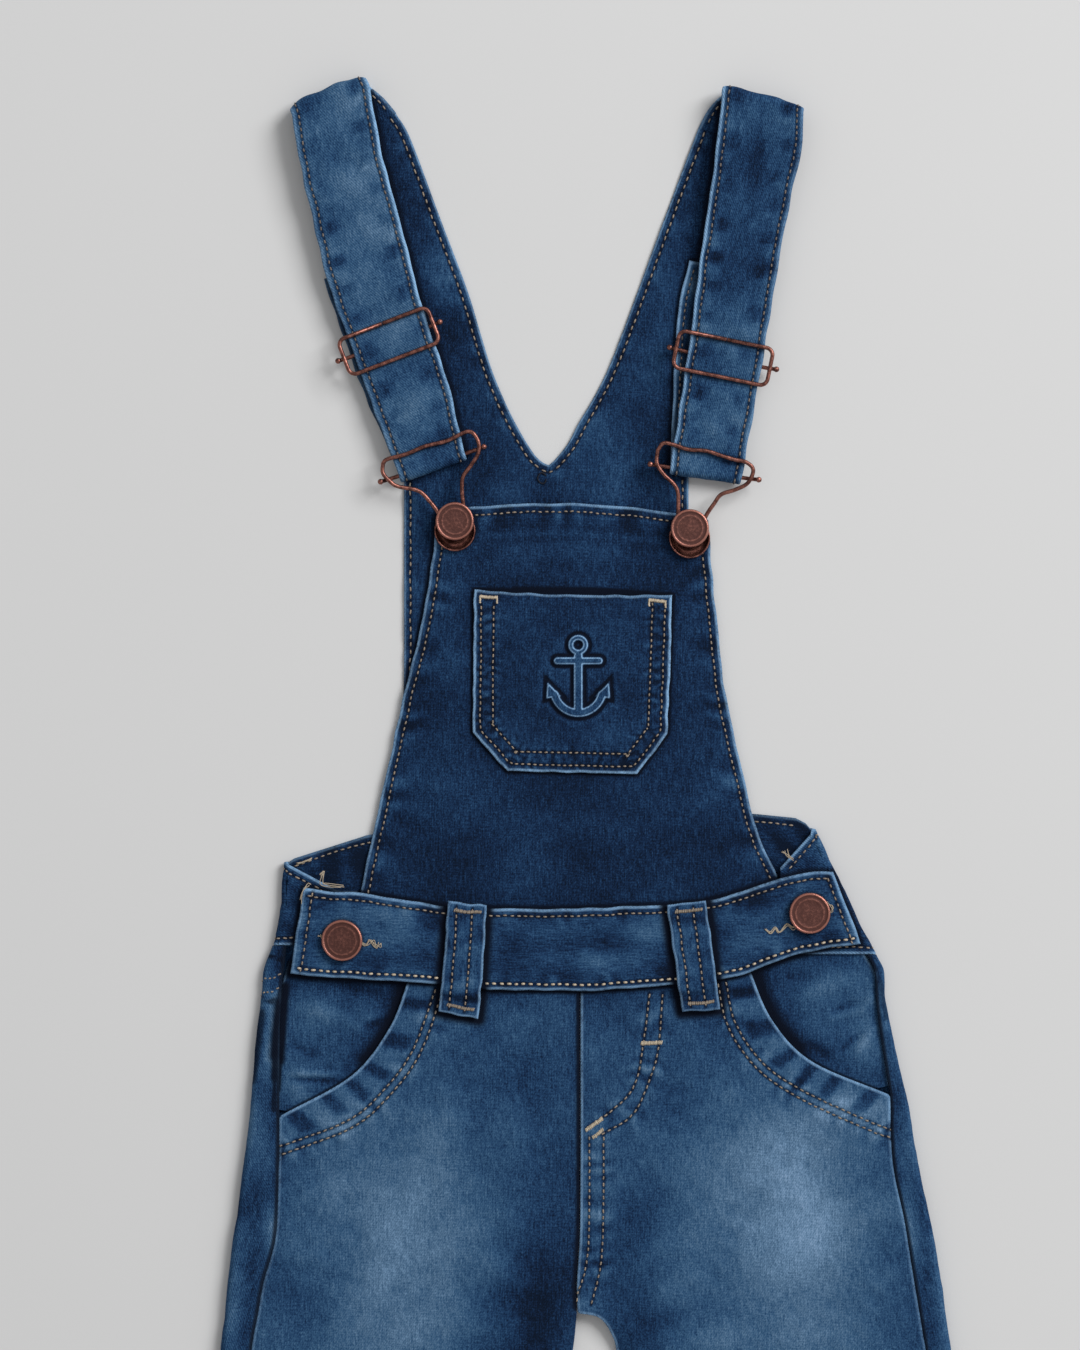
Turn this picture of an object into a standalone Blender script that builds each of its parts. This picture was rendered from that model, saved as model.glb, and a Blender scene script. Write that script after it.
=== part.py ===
"""Denim bib overalls for a toddler, laid on their back on a flat surface, front side up.

The garment is drawn in millimetres from the crotch: x to the viewer's right, y towards the
shoulder straps, z up from the surface. The model is moved so that the middle of its outline
is at the origin. Every piece of cloth is a wall of its own, worked out from short tables of
its edges, one row for each section. Pieces lie on each other and are a small gap apart at
their seams.
"""
import math

import bpy
import numpy as np

# Driving dimensions, in millimetres
MM = 0.001
CLOTH = 1.2
SEAM = 0.3
HALF_SEAM = SEAM / 2
STRAP_CLOTH = 1.8
BAND_CLOTH = 2.4
LOOP_CLOTH = 1.8
WIRE = 1.7
OUTLINE_MIDDLE = (5.0, 97.0)

# Heights of the layers above the surface
WAIST_LIFT = 4.4
BIB_REST = 2 * CLOTH + SEAM + 0.1
BAND_LOW = WAIST_LIFT + SEAM
BAND_TOP = BAND_LOW + BAND_CLOTH
STRAP_LOW = CLOTH + SEAM + STRAP_CLOTH / 2
STRAP_HIGH = STRAP_LOW + STRAP_CLOTH + WIRE + 2 * SEAM
STRAP_FOLD_TOP = 9.5
BAR_HEIGHT = (STRAP_LOW + STRAP_HIGH) / 2
FRAME_HEIGHT = STRAP_HIGH + STRAP_CLOTH / 2 + SEAM + WIRE / 2

# Legs from the pocket mouths down: side y, outer edge x, side seam x, inner x, inner y.
# The first span ends at the crotch and the second at the hem.
LEG_LEFT_HIP = (
    (81.3, -135.6, -123.4, 1.2, 84.0),
    (60.6, -138.2, -123.7, 1.2, 60.0),
    (32.0, -142.3, -124.9, 0.9, 32.0),
    (12.9, -144.6, -129.9, -0.3, 12.0),
    (0.0, -146.0, -132.2, 0.0, 0.0),
)
LEG_LEFT_LOW = (
    (0.0, -146.0, -132.2, 0.0, 0.0),
    (-15.4, -147.7, -134.9, -1.7, -16.0),
    (-40.0, -149.3, -136.8, -6.5, -40.0),
    (-75.0, -150.5, -138.2, -14.0, -75.0),
    (-115.0, -151.0, -139.3, -22.5, -115.0),
    (-160.0, -151.0, -140.0, -30.5, -160.0),
    (-210.0, -151.0, -140.6, -37.5, -210.0),
    (-262.0, -151.0, -141.0, -42.5, -262.0),
    (-302.0, -151.0, -141.0, -45.3, -302.0),
    (-318.0, -151.0, -141.0, -46.0, -318.0),
)
LEG_RIGHT_HIP = (
    (90.1, 136.4, 129.6, 1.2, 84.0),
    (62.7, 141.0, 130.7, 1.2, 60.0),
    (36.9, 146.6, 135.7, 0.9, 32.0),
    (14.0, 150.6, 139.4, -0.3, 12.0),
    (2.0, 152.2, 141.4, 0.0, 0.0),
)
LEG_RIGHT_LOW = (
    (2.0, 152.2, 141.4, 0.0, 0.0),
    (-3.5, 153.0, 142.4, 9.0, -2.1),
    (-9.5, 153.9, 143.3, 14.0, -9.0),
    (-17.0, 154.9, 144.5, 16.2, -17.0),
    (-40.0, 157.0, 146.8, 18.5, -40.0),
    (-75.0, 158.8, 148.8, 24.0, -75.0),
    (-115.0, 160.0, 150.3, 31.5, -115.0),
    (-160.0, 160.7, 151.0, 39.5, -160.0),
    (-210.0, 161.0, 151.2, 46.5, -210.0),
    (-262.0, 161.0, 151.3, 52.0, -262.0),
    (-302.0, 161.0, 151.3, 55.5, -302.0),
    (-318.0, 161.0, 151.3, 56.5, -318.0),
)

# Back panels from the back waistband to the pocket mouths, same columns as the legs
BACK_LEFT_TOP = (
    (151.7, -126.2, -120.5, 1.2, 168.0),
    (142.0, -129.9, -121.5, 1.2, 150.0),
    (130.0, -130.7, -123.0, 1.2, 132.0),
    (108.0, -133.6, -123.4, 1.2, 110.0),
    (81.3, -135.6, -123.4, 1.2, 84.0),
)
BACK_RIGHT_TOP = (
    (148.0, 124.0, 120.0, 1.2, 168.0),
    (141.0, 127.2, 123.2, 1.2, 150.0),
    (129.5, 127.6, 123.8, 1.2, 132.0),
    (112.5, 131.1, 126.0, 1.2, 110.0),
    (90.1, 136.4, 129.6, 1.2, 84.0),
)

# Front panels along the pocket mouths: mouth x, mouth y, inner x, inner y
MOUTH_LEFT = (
    (-70.0, 141.0, 1.2, 138.0),
    (-71.4, 134.0, 1.2, 130.0),
    (-78.4, 117.0, 1.2, 115.0),
    (-93.8, 97.9, 1.2, 99.0),
    (-123.4, 81.3, 1.2, 84.0),
)
MOUTH_RIGHT = (
    (71.0, 146.0, 1.2, 138.0),
    (72.6, 139.4, 1.2, 130.0),
    (81.3, 120.3, 1.2, 115.0),
    (97.5, 103.8, 1.2, 99.0),
    (129.6, 90.1, 1.2, 84.0),
)

# Hip cloth behind the pocket mouths: left x, left y, right x, right y
HIP_LEFT = (
    (-119.5, 145.5, -58.0, 143.0),
    (-123.6, 130.0, -60.0, 127.0),
    (-124.4, 110.0, -68.0, 108.0),
    (-124.4, 95.0, -82.0, 91.0),
    (-124.4, 84.0, -98.0, 80.0),
)
HIP_RIGHT = (
    (60.0, 144.0, 114.5, 155.0),
    (61.5, 128.0, 124.3, 139.0),
    (69.0, 112.0, 125.6, 122.0),
    (83.0, 96.0, 127.8, 107.0),
    (99.0, 86.0, 129.6, 94.0),
)

# Height of the flattened legs and hips above the surface, by y
LIFT_Y = (-318.0, -302.0, -200.0, -60.0, 20.0, 80.0, 120.0, 160.0)
LIFT_Z = (4.6, 4.7, 5.2, 5.6, 5.6, 5.2, 4.4, 4.4)
HEM_HEIGHT = 16.0
HEM_STEP = 0.6
INNER_EDGE_WIDTH = 10.0

# Folds of the front panels: x and y of both ends, half width, height
LEG_FOLDS = (
    (-112.0, 74.0, -60.0, 92.0, 7.0, 0.5),
    (-14.0, 8.0, -46.0, 24.0, 6.0, 0.6),
    (-12.0, -8.0, -60.0, -2.0, 7.0, 0.6),
    (22.0, 2.0, 58.0, 20.0, 6.0, 0.6),
    (26.0, -18.0, 74.0, -10.0, 7.0, 0.6),
    (-128.0, -120.0, -80.0, -132.0, 9.0, 0.6),
    (-36.0, -150.0, -84.0, -140.0, 9.0, 0.6),
    (140.0, -118.0, 92.0, -130.0, 9.0, 0.6),
    (48.0, -152.0, 96.0, -142.0, 9.0, 0.6),
    (-60.0, -236.0, -110.0, -250.0, 10.0, 0.5),
    (70.0, -240.0, 122.0, -252.0, 10.0, 0.5),
)

# Back waistband: share of its height, left edge x, right edge x; its ends under the front band
BACK_BAND_SIDES = (
    (0.00, -126.2, 124.0),
    (0.25, -123.9, 116.9),
    (0.50, -122.5, 111.4),
    (0.75, -122.4, 104.4),
    (1.00, -121.5, 98.8),
)
BACK_BAND_TOP_X = (-121.5, -87.0, -30.0, 30.0, 73.5, 90.5, 98.8)
BACK_BAND_TOP_Y = (186.5, 197.5, 206.0, 208.0, 206.3, 204.6, 200.4)
BACK_BAND_ENDS = (-91.0, 87.5)
BACK_BAND_LOW_X = (-126.2, 1.2, 124.0)
BACK_BAND_LOW_Y = (151.7 + SEAM, 168.0 + 3 * SEAM, 148.0 + SEAM)
BACK_BAND_DROP_LEFT = (0.53, 12.0)
BACK_BAND_DROP_RIGHT = (1.10, 18.0)

# Front waistband, along it: top x, top y, bottom x, bottom y
FRONT_BAND = (
    (-113.3, 176.0, -118.7, 140.3),
    (-104.0, 174.6, -106.0, 139.1),
    (-88.4, 173.5, -90.1, 138.2),
    (-56.0, 168.5, -56.9, 136.2),
    (-31.0, 167.4, -35.0, 133.8),
    (-7.1, 167.2, -13.3, 133.6),
    (17.8, 168.1, 9.5, 133.6),
    (53.5, 170.6, 59.8, 138.2),
    (84.2, 179.7, 88.0, 147.4),
    (96.0, 182.4, 103.0, 151.0),
    (105.8, 182.4, 117.4, 152.7),
)

# Bib from the waistband up: left x, left y, right x, right y, rise of the middle
BIB = (
    (-90.5, 171.0, 85.0, 175.0, -10.0),
    (-89.2, 177.0, 83.0, 181.0, -8.0),
    (-84.5, 199.0, 75.5, 197.0, -3.0),
    (-79.7, 220.4, 70.3, 216.0, -1.0),
    (-71.4, 257.7, 61.8, 254.8, 0.0),
    (-65.2, 281.8, 58.8, 280.0, 0.0),
    (-60.2, 311.7, 55.6, 310.0, 2.0),
    (-58.1, 331.6, 54.4, 328.3, 5.0),
)
BIB_LOFT_Y = (160.0, 200.0, 290.0, 316.0)
BIB_LOFT_Z = (1.4, 1.9, 1.8, 0.3)

# Bib pocket from its mouth down: left x, left y, right x, right y, rise of the middle
BIB_POCKET = (
    (-42.7, 299.2, 39.4, 297.1, -1.0),
    (-43.0, 270.0, 38.5, 268.3, -0.2),
    (-43.2, 240.3, 37.4, 239.5, 0.0),
)
BIB_POCKET_TIP = (
    (-43.2, 240.3, 37.4, 239.5, 0.0),
    (-29.0, 224.1, 24.9, 222.9, 0.0),
)
POCKET_PUFF = 0.4

# Anchor on the pocket: a plain sea anchor drawn with a ruler and compasses
ANCHOR_AT = (0.4, 263.5)
ANCHOR_HEIGHT = 34.0
ANCHOR_WIDTH = 27.0
ANCHOR_BAR = 3.4
ANCHOR_RING = (4.1, 2.0)
ANCHOR_STOCK = (20.0, 2.7)
ANCHOR_STOCK_BELOW_RING = 1.2
ANCHOR_RAISED = 0.9

# Arms of the anchor: their two radii, and the fluke's three corners from the arms' tips
ANCHOR_ARM_RADII = (12.3, 9.1)
ANCHOR_FLUKE_BACK = (0.6, -5.5)
ANCHOR_FLUKE_TIP = (0.0, 1.5)
ANCHOR_FLUKE_FRONT = (-6.2, -4.6)

# Belt loops, down their length: left x, left y, right x, right y, height of the underside
LOOP_LEFT = (
    (-53.5, 170.6, -37.4, 168.9, BAND_TOP + SEAM),
    (-54.6, 153.0, -38.4, 151.5, BAND_TOP + 0.7),
    (-56.2, 135.0, -39.8, 131.8, BAND_TOP + SEAM),
    (-56.6, 131.5, -40.2, 128.2, BAND_TOP - 1.2),
    (-57.3, 124.9, -40.9, 121.6, 5.2),
)
LOOP_RIGHT = (
    (36.9, 168.9, 53.2, 170.9, BAND_TOP + SEAM),
    (39.3, 152.0, 55.5, 153.4, BAND_TOP + 0.7),
    (41.8, 134.6, 57.6, 136.4, BAND_TOP + SEAM),
    (42.3, 131.2, 58.1, 132.6, BAND_TOP - 1.2),
    (43.4, 124.5, 59.0, 125.6, 5.2),
)

# Back bib, its two sides and its V neck, x and y
BACK_BIB_LEFT = (
    (-78.0, 199.6), (-74.2, 228.0), (-72.0, 257.7), (-71.8, 300.0), (-71.8, 341.0),
    (-72.0, 372.0), (-75.5, 408.0), (-86.2, 440.8), (-96.4, 470.0), (-103.8, 482.6),
)
BACK_BIB_NECK_LEFT = (
    (-75.8, 496.6), (-68.5, 486.0), (-56.4, 452.3), (-45.6, 423.7), (-39.0, 403.0), (-11.6, 347.8),
)
BACK_BIB_NECK_RIGHT = (
    (-11.6, 347.8), (19.1, 407.9), (32.0, 441.6), (41.5, 467.3), (50.3, 490.6),
)
BACK_BIB_RIGHT = (
    (80.8, 481.1), (71.5, 456.4), (62.0, 430.7), (53.0, 402.0), (48.0, 372.0),
    (46.2, 341.0), (47.5, 300.0), (51.5, 258.0), (57.5, 230.0), (65.0, 207.0),
)

# Straps, front run from the shoulder fold down: left x, left y, right x, right y, height
STRAP_LEFT_TAIL = (-104.0, 483.0, -76.0, 497.0)
STRAP_LEFT_FRONT = (
    (-117.6, 495.0, -86.0, 508.0, STRAP_FOLD_TOP),
    (-113.5, 470.0, -81.4, 482.0, 8.9),
    (-109.3, 452.0, -76.4, 463.2, 7.9),
    (-104.2, 430.4, -70.6, 442.0, 7.0),
    (-95.9, 405.9, -64.3, 416.8, STRAP_HIGH),
    (-84.5, 375.0, -54.0, 386.2, STRAP_HIGH),
    (-73.7, 346.3, -46.5, 355.5, STRAP_HIGH),
)
STRAP_LEFT_RETURN = (
    (-73.7, 346.3, -46.5, 355.5, STRAP_LOW),
    (-85.8, 375.0, -56.0, 386.0, STRAP_LOW),
    (-97.6, 406.0, -67.0, 417.0, STRAP_LOW),
    (-105.2, 428.0, -75.0, 438.5, STRAP_LOW),
)
STRAP_RIGHT_TAIL = (50.5, 491.0, 81.0, 481.5)
STRAP_RIGHT_FRONT = (
    (60.2, 506.9, 93.4, 497.9, STRAP_FOLD_TOP),
    (57.9, 487.0, 92.9, 483.0, 8.9),
    (55.6, 467.3, 88.7, 463.5, 7.9),
    (51.0, 437.8, 83.2, 434.0, 7.0),
    (47.3, 407.9, 78.2, 403.5, STRAP_HIGH),
    (42.7, 378.0, 73.0, 373.0, STRAP_HIGH),
    (38.5, 349.8, 67.9, 345.6, STRAP_HIGH),
)
STRAP_RIGHT_RETURN = (
    (38.5, 349.8, 67.9, 345.6, STRAP_LOW),
    (39.6, 378.0, 70.0, 374.0, STRAP_LOW),
    (41.3, 408.0, 72.0, 403.5, STRAP_LOW),
    (43.2, 423.0, 74.2, 418.0, STRAP_LOW),
    (46.5, 435.5, 77.2, 430.5, STRAP_LOW),
)

# Sliders: middle x, middle y, turn in degrees. Width and height are of the wire's middle.
SLIDER_LEFT = (-77.8, 401.7, 21.0)
SLIDER_RIGHT = (60.2, 394.7, -11.6)
SLIDER_WIDTH = 39.5
SLIDER_HEIGHT = 15.6
SLIDER_CORNER = 3.0
SLIDER_STRAP_HALF = 16.4

# Curled ends of a bar, from the tip inwards: distance past the frame's wire, height
BAR_CURL = ((2.9, 8.2), (2.5, 6.9), (0.4, 5.5), (-1.4, BAR_HEIGHT))
BUCKLE_BAR_OUT = {"left": (5.2, 5.6), "right": (5.7, 4.4)}

# Buckle wires round from the top bar's left end: x, y, height
NECK = 5.35
BUCKLE_LEFT = (
    (-80.2, 351.3, 8.3), (-78.3, 353.0, FRAME_HEIGHT), (-70.3, 355.2, FRAME_HEIGHT),
    (-62.9, 358.3, FRAME_HEIGHT), (-54.0, 360.5, FRAME_HEIGHT), (-45.2, 364.4, FRAME_HEIGHT),
    (-41.4, 361.5, FRAME_HEIGHT), (-40.7, 356.1, 8.2), (-43.8, 350.6, 7.7), (-47.2, 345.8, 7.0),
    (-47.6, 340.1, 6.3), (-47.0, 334.0, 5.6), (-46.0, 327.4, NECK), (-50.6, 322.6, NECK),
    (-55.4, 327.4, NECK), (-58.1, 332.0, NECK), (-60.7, 335.4, 5.8), (-64.0, 339.0, 6.3),
    (-67.4, 340.6, 6.8), (-73.7, 341.7, 7.3), (-76.7, 343.3, 7.8), (-80.2, 347.2, 8.1),
)
BUCKLE_RIGHT = (
    (33.2, 356.6, 8.3), (35.6, 359.6, FRAME_HEIGHT), (40.2, 358.8, FRAME_HEIGHT),
    (45.8, 357.0, FRAME_HEIGHT), (53.2, 356.4, FRAME_HEIGHT), (60.2, 354.2, FRAME_HEIGHT),
    (65.4, 352.7, FRAME_HEIGHT), (69.3, 351.9, FRAME_HEIGHT), (72.2, 349.7, 8.4),
    (72.4, 346.9, 8.1), (70.1, 342.9, 7.7), (65.1, 340.4, 7.2), (59.5, 338.5, 6.6),
    (56.6, 334.8, 6.0), (53.4, 330.0, 5.5), (51.1, 324.5, NECK), (46.5, 319.7, NECK),
    (41.9, 324.5, NECK), (41.8, 333.4, 5.6), (41.6, 339.4, 6.3), (39.8, 342.9, 6.9),
    (35.9, 346.6, 7.6), (32.9, 351.3, 8.1),
)

# Tack buttons and the stamped cups of the buckles
BIB_BUTTONS = {"left": (-50.6, 327.4), "right": (46.5, 324.5)}
WAIST_BUTTONS = {"left": (-97.1, 154.4), "right": (95.9, 165.6)}
BIB_BUTTON_RADIUS = 7.9
WAIST_BUTTON_RADIUS = 8.5
BUTTON_SHANK = 2.5
BUTTON_HEAD = 2.4
BIB_SHANK_LOW = BIB_REST + SEAM + 0.2
BIB_HEAD_LOW = 6.5
WAIST_SHANK_LOW = BAND_TOP + SEAM + 0.25
WAIST_HEAD_LOW = WAIST_SHANK_LOW + 0.8
CUP_RADIUS = 8.2
CUP_HOLE = 4.3
CUP_DROP = 3.8
CUP_LOW = 3.3
CUP_THICK = 0.9

# Finishes: linear colour, roughness, metallic
DARK_DENIM = ((0.020, 0.050, 0.125), 0.85, 0.0)
MID_DENIM = ((0.045, 0.105, 0.220), 0.85, 0.0)
BACK_DENIM = ((0.014, 0.032, 0.082), 0.85, 0.0)
STRAP_DENIM = ((0.085, 0.165, 0.290), 0.85, 0.0)
COPPER = ((0.230, 0.075, 0.050), 0.4, 1.0)


def clear_scene():
    for old in list(bpy.data.objects):
        bpy.data.objects.remove(old, do_unlink=True)


def material(name, finish):
    colour, roughness, metallic = finish
    made = bpy.data.materials.new(f"{name}_finish")
    made.use_nodes = True
    shader = made.node_tree.nodes["Principled BSDF"]
    shader.inputs["Base Color"].default_value = (*colour, 1.0)
    shader.inputs["Roughness"].default_value = roughness
    shader.inputs["Metallic"].default_value = metallic
    return made


def through(table, per_gap):
    """Rows on a smooth curve through the table's rows, per_gap new rows for each gap."""
    rows = np.array(table, float)
    slope = np.gradient(rows, axis=0)
    at = np.linspace(0, len(rows) - 1, (len(rows) - 1) * per_gap + 1)
    low = np.minimum(at.astype(int), len(rows) - 2)
    t = (at - low)[:, None]
    a, b = rows[low], rows[low + 1]
    ease = t * t * (3 - 2 * t)
    return (
        a * (1 - ease) + b * ease
        + slope[low] * t * (1 - t) ** 2 - slope[low + 1] * t * t * (1 - t)
    )


def across(left, right, cells):
    """Grid of x and y between two edges, rows by cells + 1."""
    u = np.linspace(0, 1, cells + 1)[None, :, None]
    return left[:, None, :] * (1 - u) + right[:, None, :] * u


def smoothstep(value):
    value = np.clip(value, 0, 1)
    return value * value * (3 - 2 * value)


def folds(x, y, table):
    """Height of the soft ridges: a bell across each segment, fading at its ends."""
    height = np.zeros_like(x)
    for x0, y0, x1, y1, half_width, rise in table:
        length = math.hypot(x1 - x0, y1 - y0)
        along = ((x - x0) * (x1 - x0) + (y - y0) * (y1 - y0)) / length
        beside = ((x - x0) * (y1 - y0) - (y - y0) * (x1 - x0)) / length
        ends = smoothstep(along / length * 3) * smoothstep((1 - along / length) * 3)
        height += rise * ends * np.exp(-((beside / half_width) ** 2))
    return height


def world(points):
    """Millimetres from the crotch to metres from the middle of the outline."""
    moved = np.array(points, float)
    moved[:, 0] -= OUTLINE_MIDDLE[0]
    moved[:, 1] -= OUTLINE_MIDDLE[1]
    return moved * MM


def new_object(name, points, faces, finish, sharp_degrees=50):
    mesh = bpy.data.meshes.new(name)
    mesh.from_pydata(world(points).tolist(), [], faces)
    mesh.materials.append(material(name, finish))
    mesh.shade_smooth()
    mesh.set_sharp_from_angle(angle=math.radians(sharp_degrees))
    piece = bpy.data.objects.new(name, mesh)
    bpy.context.scene.collection.objects.link(piece)
    return piece


def turned_out(points, faces):
    """The faces, reversed when they enclose a negative volume."""
    volume = 0.0
    for face in faces:
        a = points[face[0]]
        for b, c in zip(face[1:-1], face[2:]):
            volume += np.dot(a, np.cross(points[b], points[c]))
    return faces if volume > 0 else [face[::-1] for face in faces]


def wall(name, outer, inner, finish):
    """Cloth wall between two grids of the same size, closed along its four edges."""
    rows, columns = outer.shape[:2]
    points = np.concatenate([outer.reshape(-1, 3), inner.reshape(-1, 3)])
    number = np.arange(rows * columns).reshape(rows, columns)
    under = number + rows * columns
    faces = []
    for i in range(rows - 1):
        for j in range(columns - 1):
            faces.append([number[i, j], number[i, j + 1], number[i + 1, j + 1], number[i + 1, j]])
            faces.append([under[i, j], under[i + 1, j], under[i + 1, j + 1], under[i, j + 1]])
    rim = [number[0, j] for j in range(columns)]
    rim += [number[i, -1] for i in range(1, rows)]
    rim += [number[-1, j] for j in range(columns - 2, -1, -1)]
    rim += [number[i, 0] for i in range(rows - 2, 0, -1)]
    for a, b in zip(rim, rim[1:] + rim[:1]):
        faces.append([b, a, a + rows * columns, b + rows * columns])
    faces = [[int(corner) for corner in face] for face in faces]
    return new_object(name, points, turned_out(points, faces), finish)


def laid_wall(name, plan, top, thickness, finish):
    """Wall whose outer points have the given heights and whose inner ones lie below them."""
    outer = np.dstack([plan, top])
    inner = np.dstack([plan, top - thickness])
    return wall(name, outer, inner, finish)


def plate(name, outline, low, high, finish):
    """Flat piece with the outline's shape between two heights."""
    count = len(outline)
    flat = np.array(outline, float)
    points = np.concatenate([
        np.column_stack([flat, np.full(count, low)]),
        np.column_stack([flat, np.full(count, high)]),
    ])
    faces = [list(range(count)), list(range(2 * count - 1, count - 1, -1))]
    faces += [[(i + 1) % count, i, i + count, (i + 1) % count + count] for i in range(count)]
    x, y = flat[:, 0], flat[:, 1]
    clockwise = np.sum(x * np.roll(y, -1) - np.roll(x, -1) * y) < 0
    if not clockwise:
        faces = [face[::-1] for face in faces]
    return new_object(name, points, faces, finish)


def tube(name, path, closed, sides, finish):
    """Round wire along a path that never runs straight up."""
    path = np.array(path, float)
    if closed:
        run = np.roll(path, -1, axis=0) - np.roll(path, 1, axis=0)
    else:
        run = np.gradient(path, axis=0)
    run /= np.linalg.norm(run, axis=1)[:, None]
    side = np.cross(run, (0.0, 0.0, 1.0))
    side /= np.linalg.norm(side, axis=1)[:, None]
    rise = np.cross(side, run)
    turn = np.linspace(0, 2 * math.pi, sides, endpoint=False)
    ring = side[:, None] * np.cos(turn)[None, :, None] + rise[:, None] * np.sin(turn)[None, :, None]
    points = (path[:, None] + ring * WIRE / 2).reshape(-1, 3)
    count = len(path)
    faces = []
    for i in range(count if closed else count - 1):
        for j in range(sides):
            a, b = i * sides, (i + 1) % count * sides
            k = (j + 1) % sides
            faces.append([a + j, a + k, b + k, b + j])
    if not closed:
        faces.append(list(range(sides - 1, -1, -1)))
        faces.append(list(range((count - 1) * sides, count * sides)))
    return new_object(name, points, turned_out(points, faces), finish, 80)


def turned(name, middle, profile, segments, finish):
    """Solid turned round an upright axis: profile of radius and height from pole to pole."""
    angles = np.linspace(0, 2 * math.pi, segments, endpoint=False)
    points = [(middle[0], middle[1], profile[0][1])]
    for radius, height in profile[1:-1]:
        points += [
            (middle[0] + radius * math.cos(a), middle[1] + radius * math.sin(a), height)
            for a in angles
        ]
    points.append((middle[0], middle[1], profile[-1][1]))
    rings = len(profile) - 2
    last = len(points) - 1
    faces = []
    for j in range(segments):
        k = (j + 1) % segments
        faces.append([0, 1 + k, 1 + j])
        for i in range(rings - 1):
            a, b = 1 + i * segments, 1 + (i + 1) * segments
            faces.append([a + j, a + k, b + k, b + j])
        top = 1 + (rings - 1) * segments
        faces.append([last, top + j, top + k])
    points = np.array(points)
    return new_object(name, points, turned_out(points, faces), finish)


def lift(y):
    return np.interp(y, LIFT_Y, LIFT_Z)


def wrap_section(height, turns=4):
    """Distance in from the outer edge and height of a fold's outer and inner side, top to floor."""
    radius = height / 2
    angle = np.linspace(0, math.pi, turns + 1)
    outer = np.column_stack([radius - radius * np.sin(angle), radius + radius * np.cos(angle)])
    small = radius - CLOTH
    inner = np.column_stack([radius - small * np.sin(angle), radius + small * np.cos(angle)])
    return outer, inner


def leg_front(side, mouth, hip, low, finish):
    """Front panel: its side edge runs along the pocket mouth, then down the side seam."""
    sign = 1 if side == "right" else -1
    top = through(mouth, 2)
    middle = through(hip, 2)[1:]
    bottom = through(low, 1)[1:]
    side_edge = np.concatenate([top[:, :2], middle[:, [2, 0]], bottom[:, [2, 0]]])
    inner_edge = np.concatenate([top[:, 2:], middle[:, 3:], bottom[:, 3:]])
    side_edge[:, 0] -= sign * HALF_SEAM
    inner_edge[:, 0] += sign * HALF_SEAM
    plan = across(side_edge, inner_edge, 14)
    x, y = plan[..., 0], plan[..., 1]
    height = lift(y) + folds(x, y, LEG_FOLDS)
    height = height + HEM_STEP * (y < low[-1][0] + HEM_HEIGHT + 0.5)
    from_inner = np.abs(x - inner_edge[:, None, 0])
    below_crotch = smoothstep(-y / 20)
    drop = (height - BIB_REST) * (1 - smoothstep(from_inner / INNER_EDGE_WIDTH))
    laid_wall(f"leg_front_{side}", plan, height - drop * below_crotch, CLOTH, finish)


def leg_back(side, top, hip, low, finish):
    """Back panel: flat on the surface, then round the outer edge to the side seam on top."""
    sign = 1 if side == "right" else -1
    rows = np.concatenate([through(top, 2), through(hip, 2)[1:], through(low, 1)[1:]])
    outer, inner = [], []
    floor_cells = 8
    for side_y, edge, seam, inner_x, inner_y in rows:
        height = float(lift(side_y))
        far, near = wrap_section(height)
        seam_in = abs(edge - seam) + HALF_SEAM
        floor_end = abs(edge - inner_x) - HALF_SEAM
        share = np.linspace(0, 1, floor_cells + 1)[1:]
        floor = far[-1, 0] + (floor_end - far[-1, 0]) * share
        across_out = np.concatenate([[seam_in], far[:, 0], floor])
        across_in = np.concatenate([[seam_in], near[:, 0], floor])
        up_out = np.concatenate([[height], far[:, 1], 0 * floor])
        up_in = np.concatenate([[height - CLOTH], near[:, 1], 0 * floor + CLOTH])
        y = np.concatenate([np.full(len(far) + 1, side_y), side_y + (inner_y - side_y) * share])
        outer.append(np.column_stack([edge - sign * across_out, y, up_out]))
        inner.append(np.column_stack([edge - sign * across_in, y, up_in]))
    wall(f"leg_back_{side}", np.array(outer), np.array(inner), finish)


def hip_cloth(side, table, finish):
    """Cloth behind the pocket mouth, a layer below the front panel."""
    rows = through(table, 2)
    plan = across(rows[:, :2], rows[:, 2:], 7)
    laid_wall(f"pocket_cloth_{side}", plan, lift(plan[..., 1]) - CLOTH - SEAM, CLOTH, finish)


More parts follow.
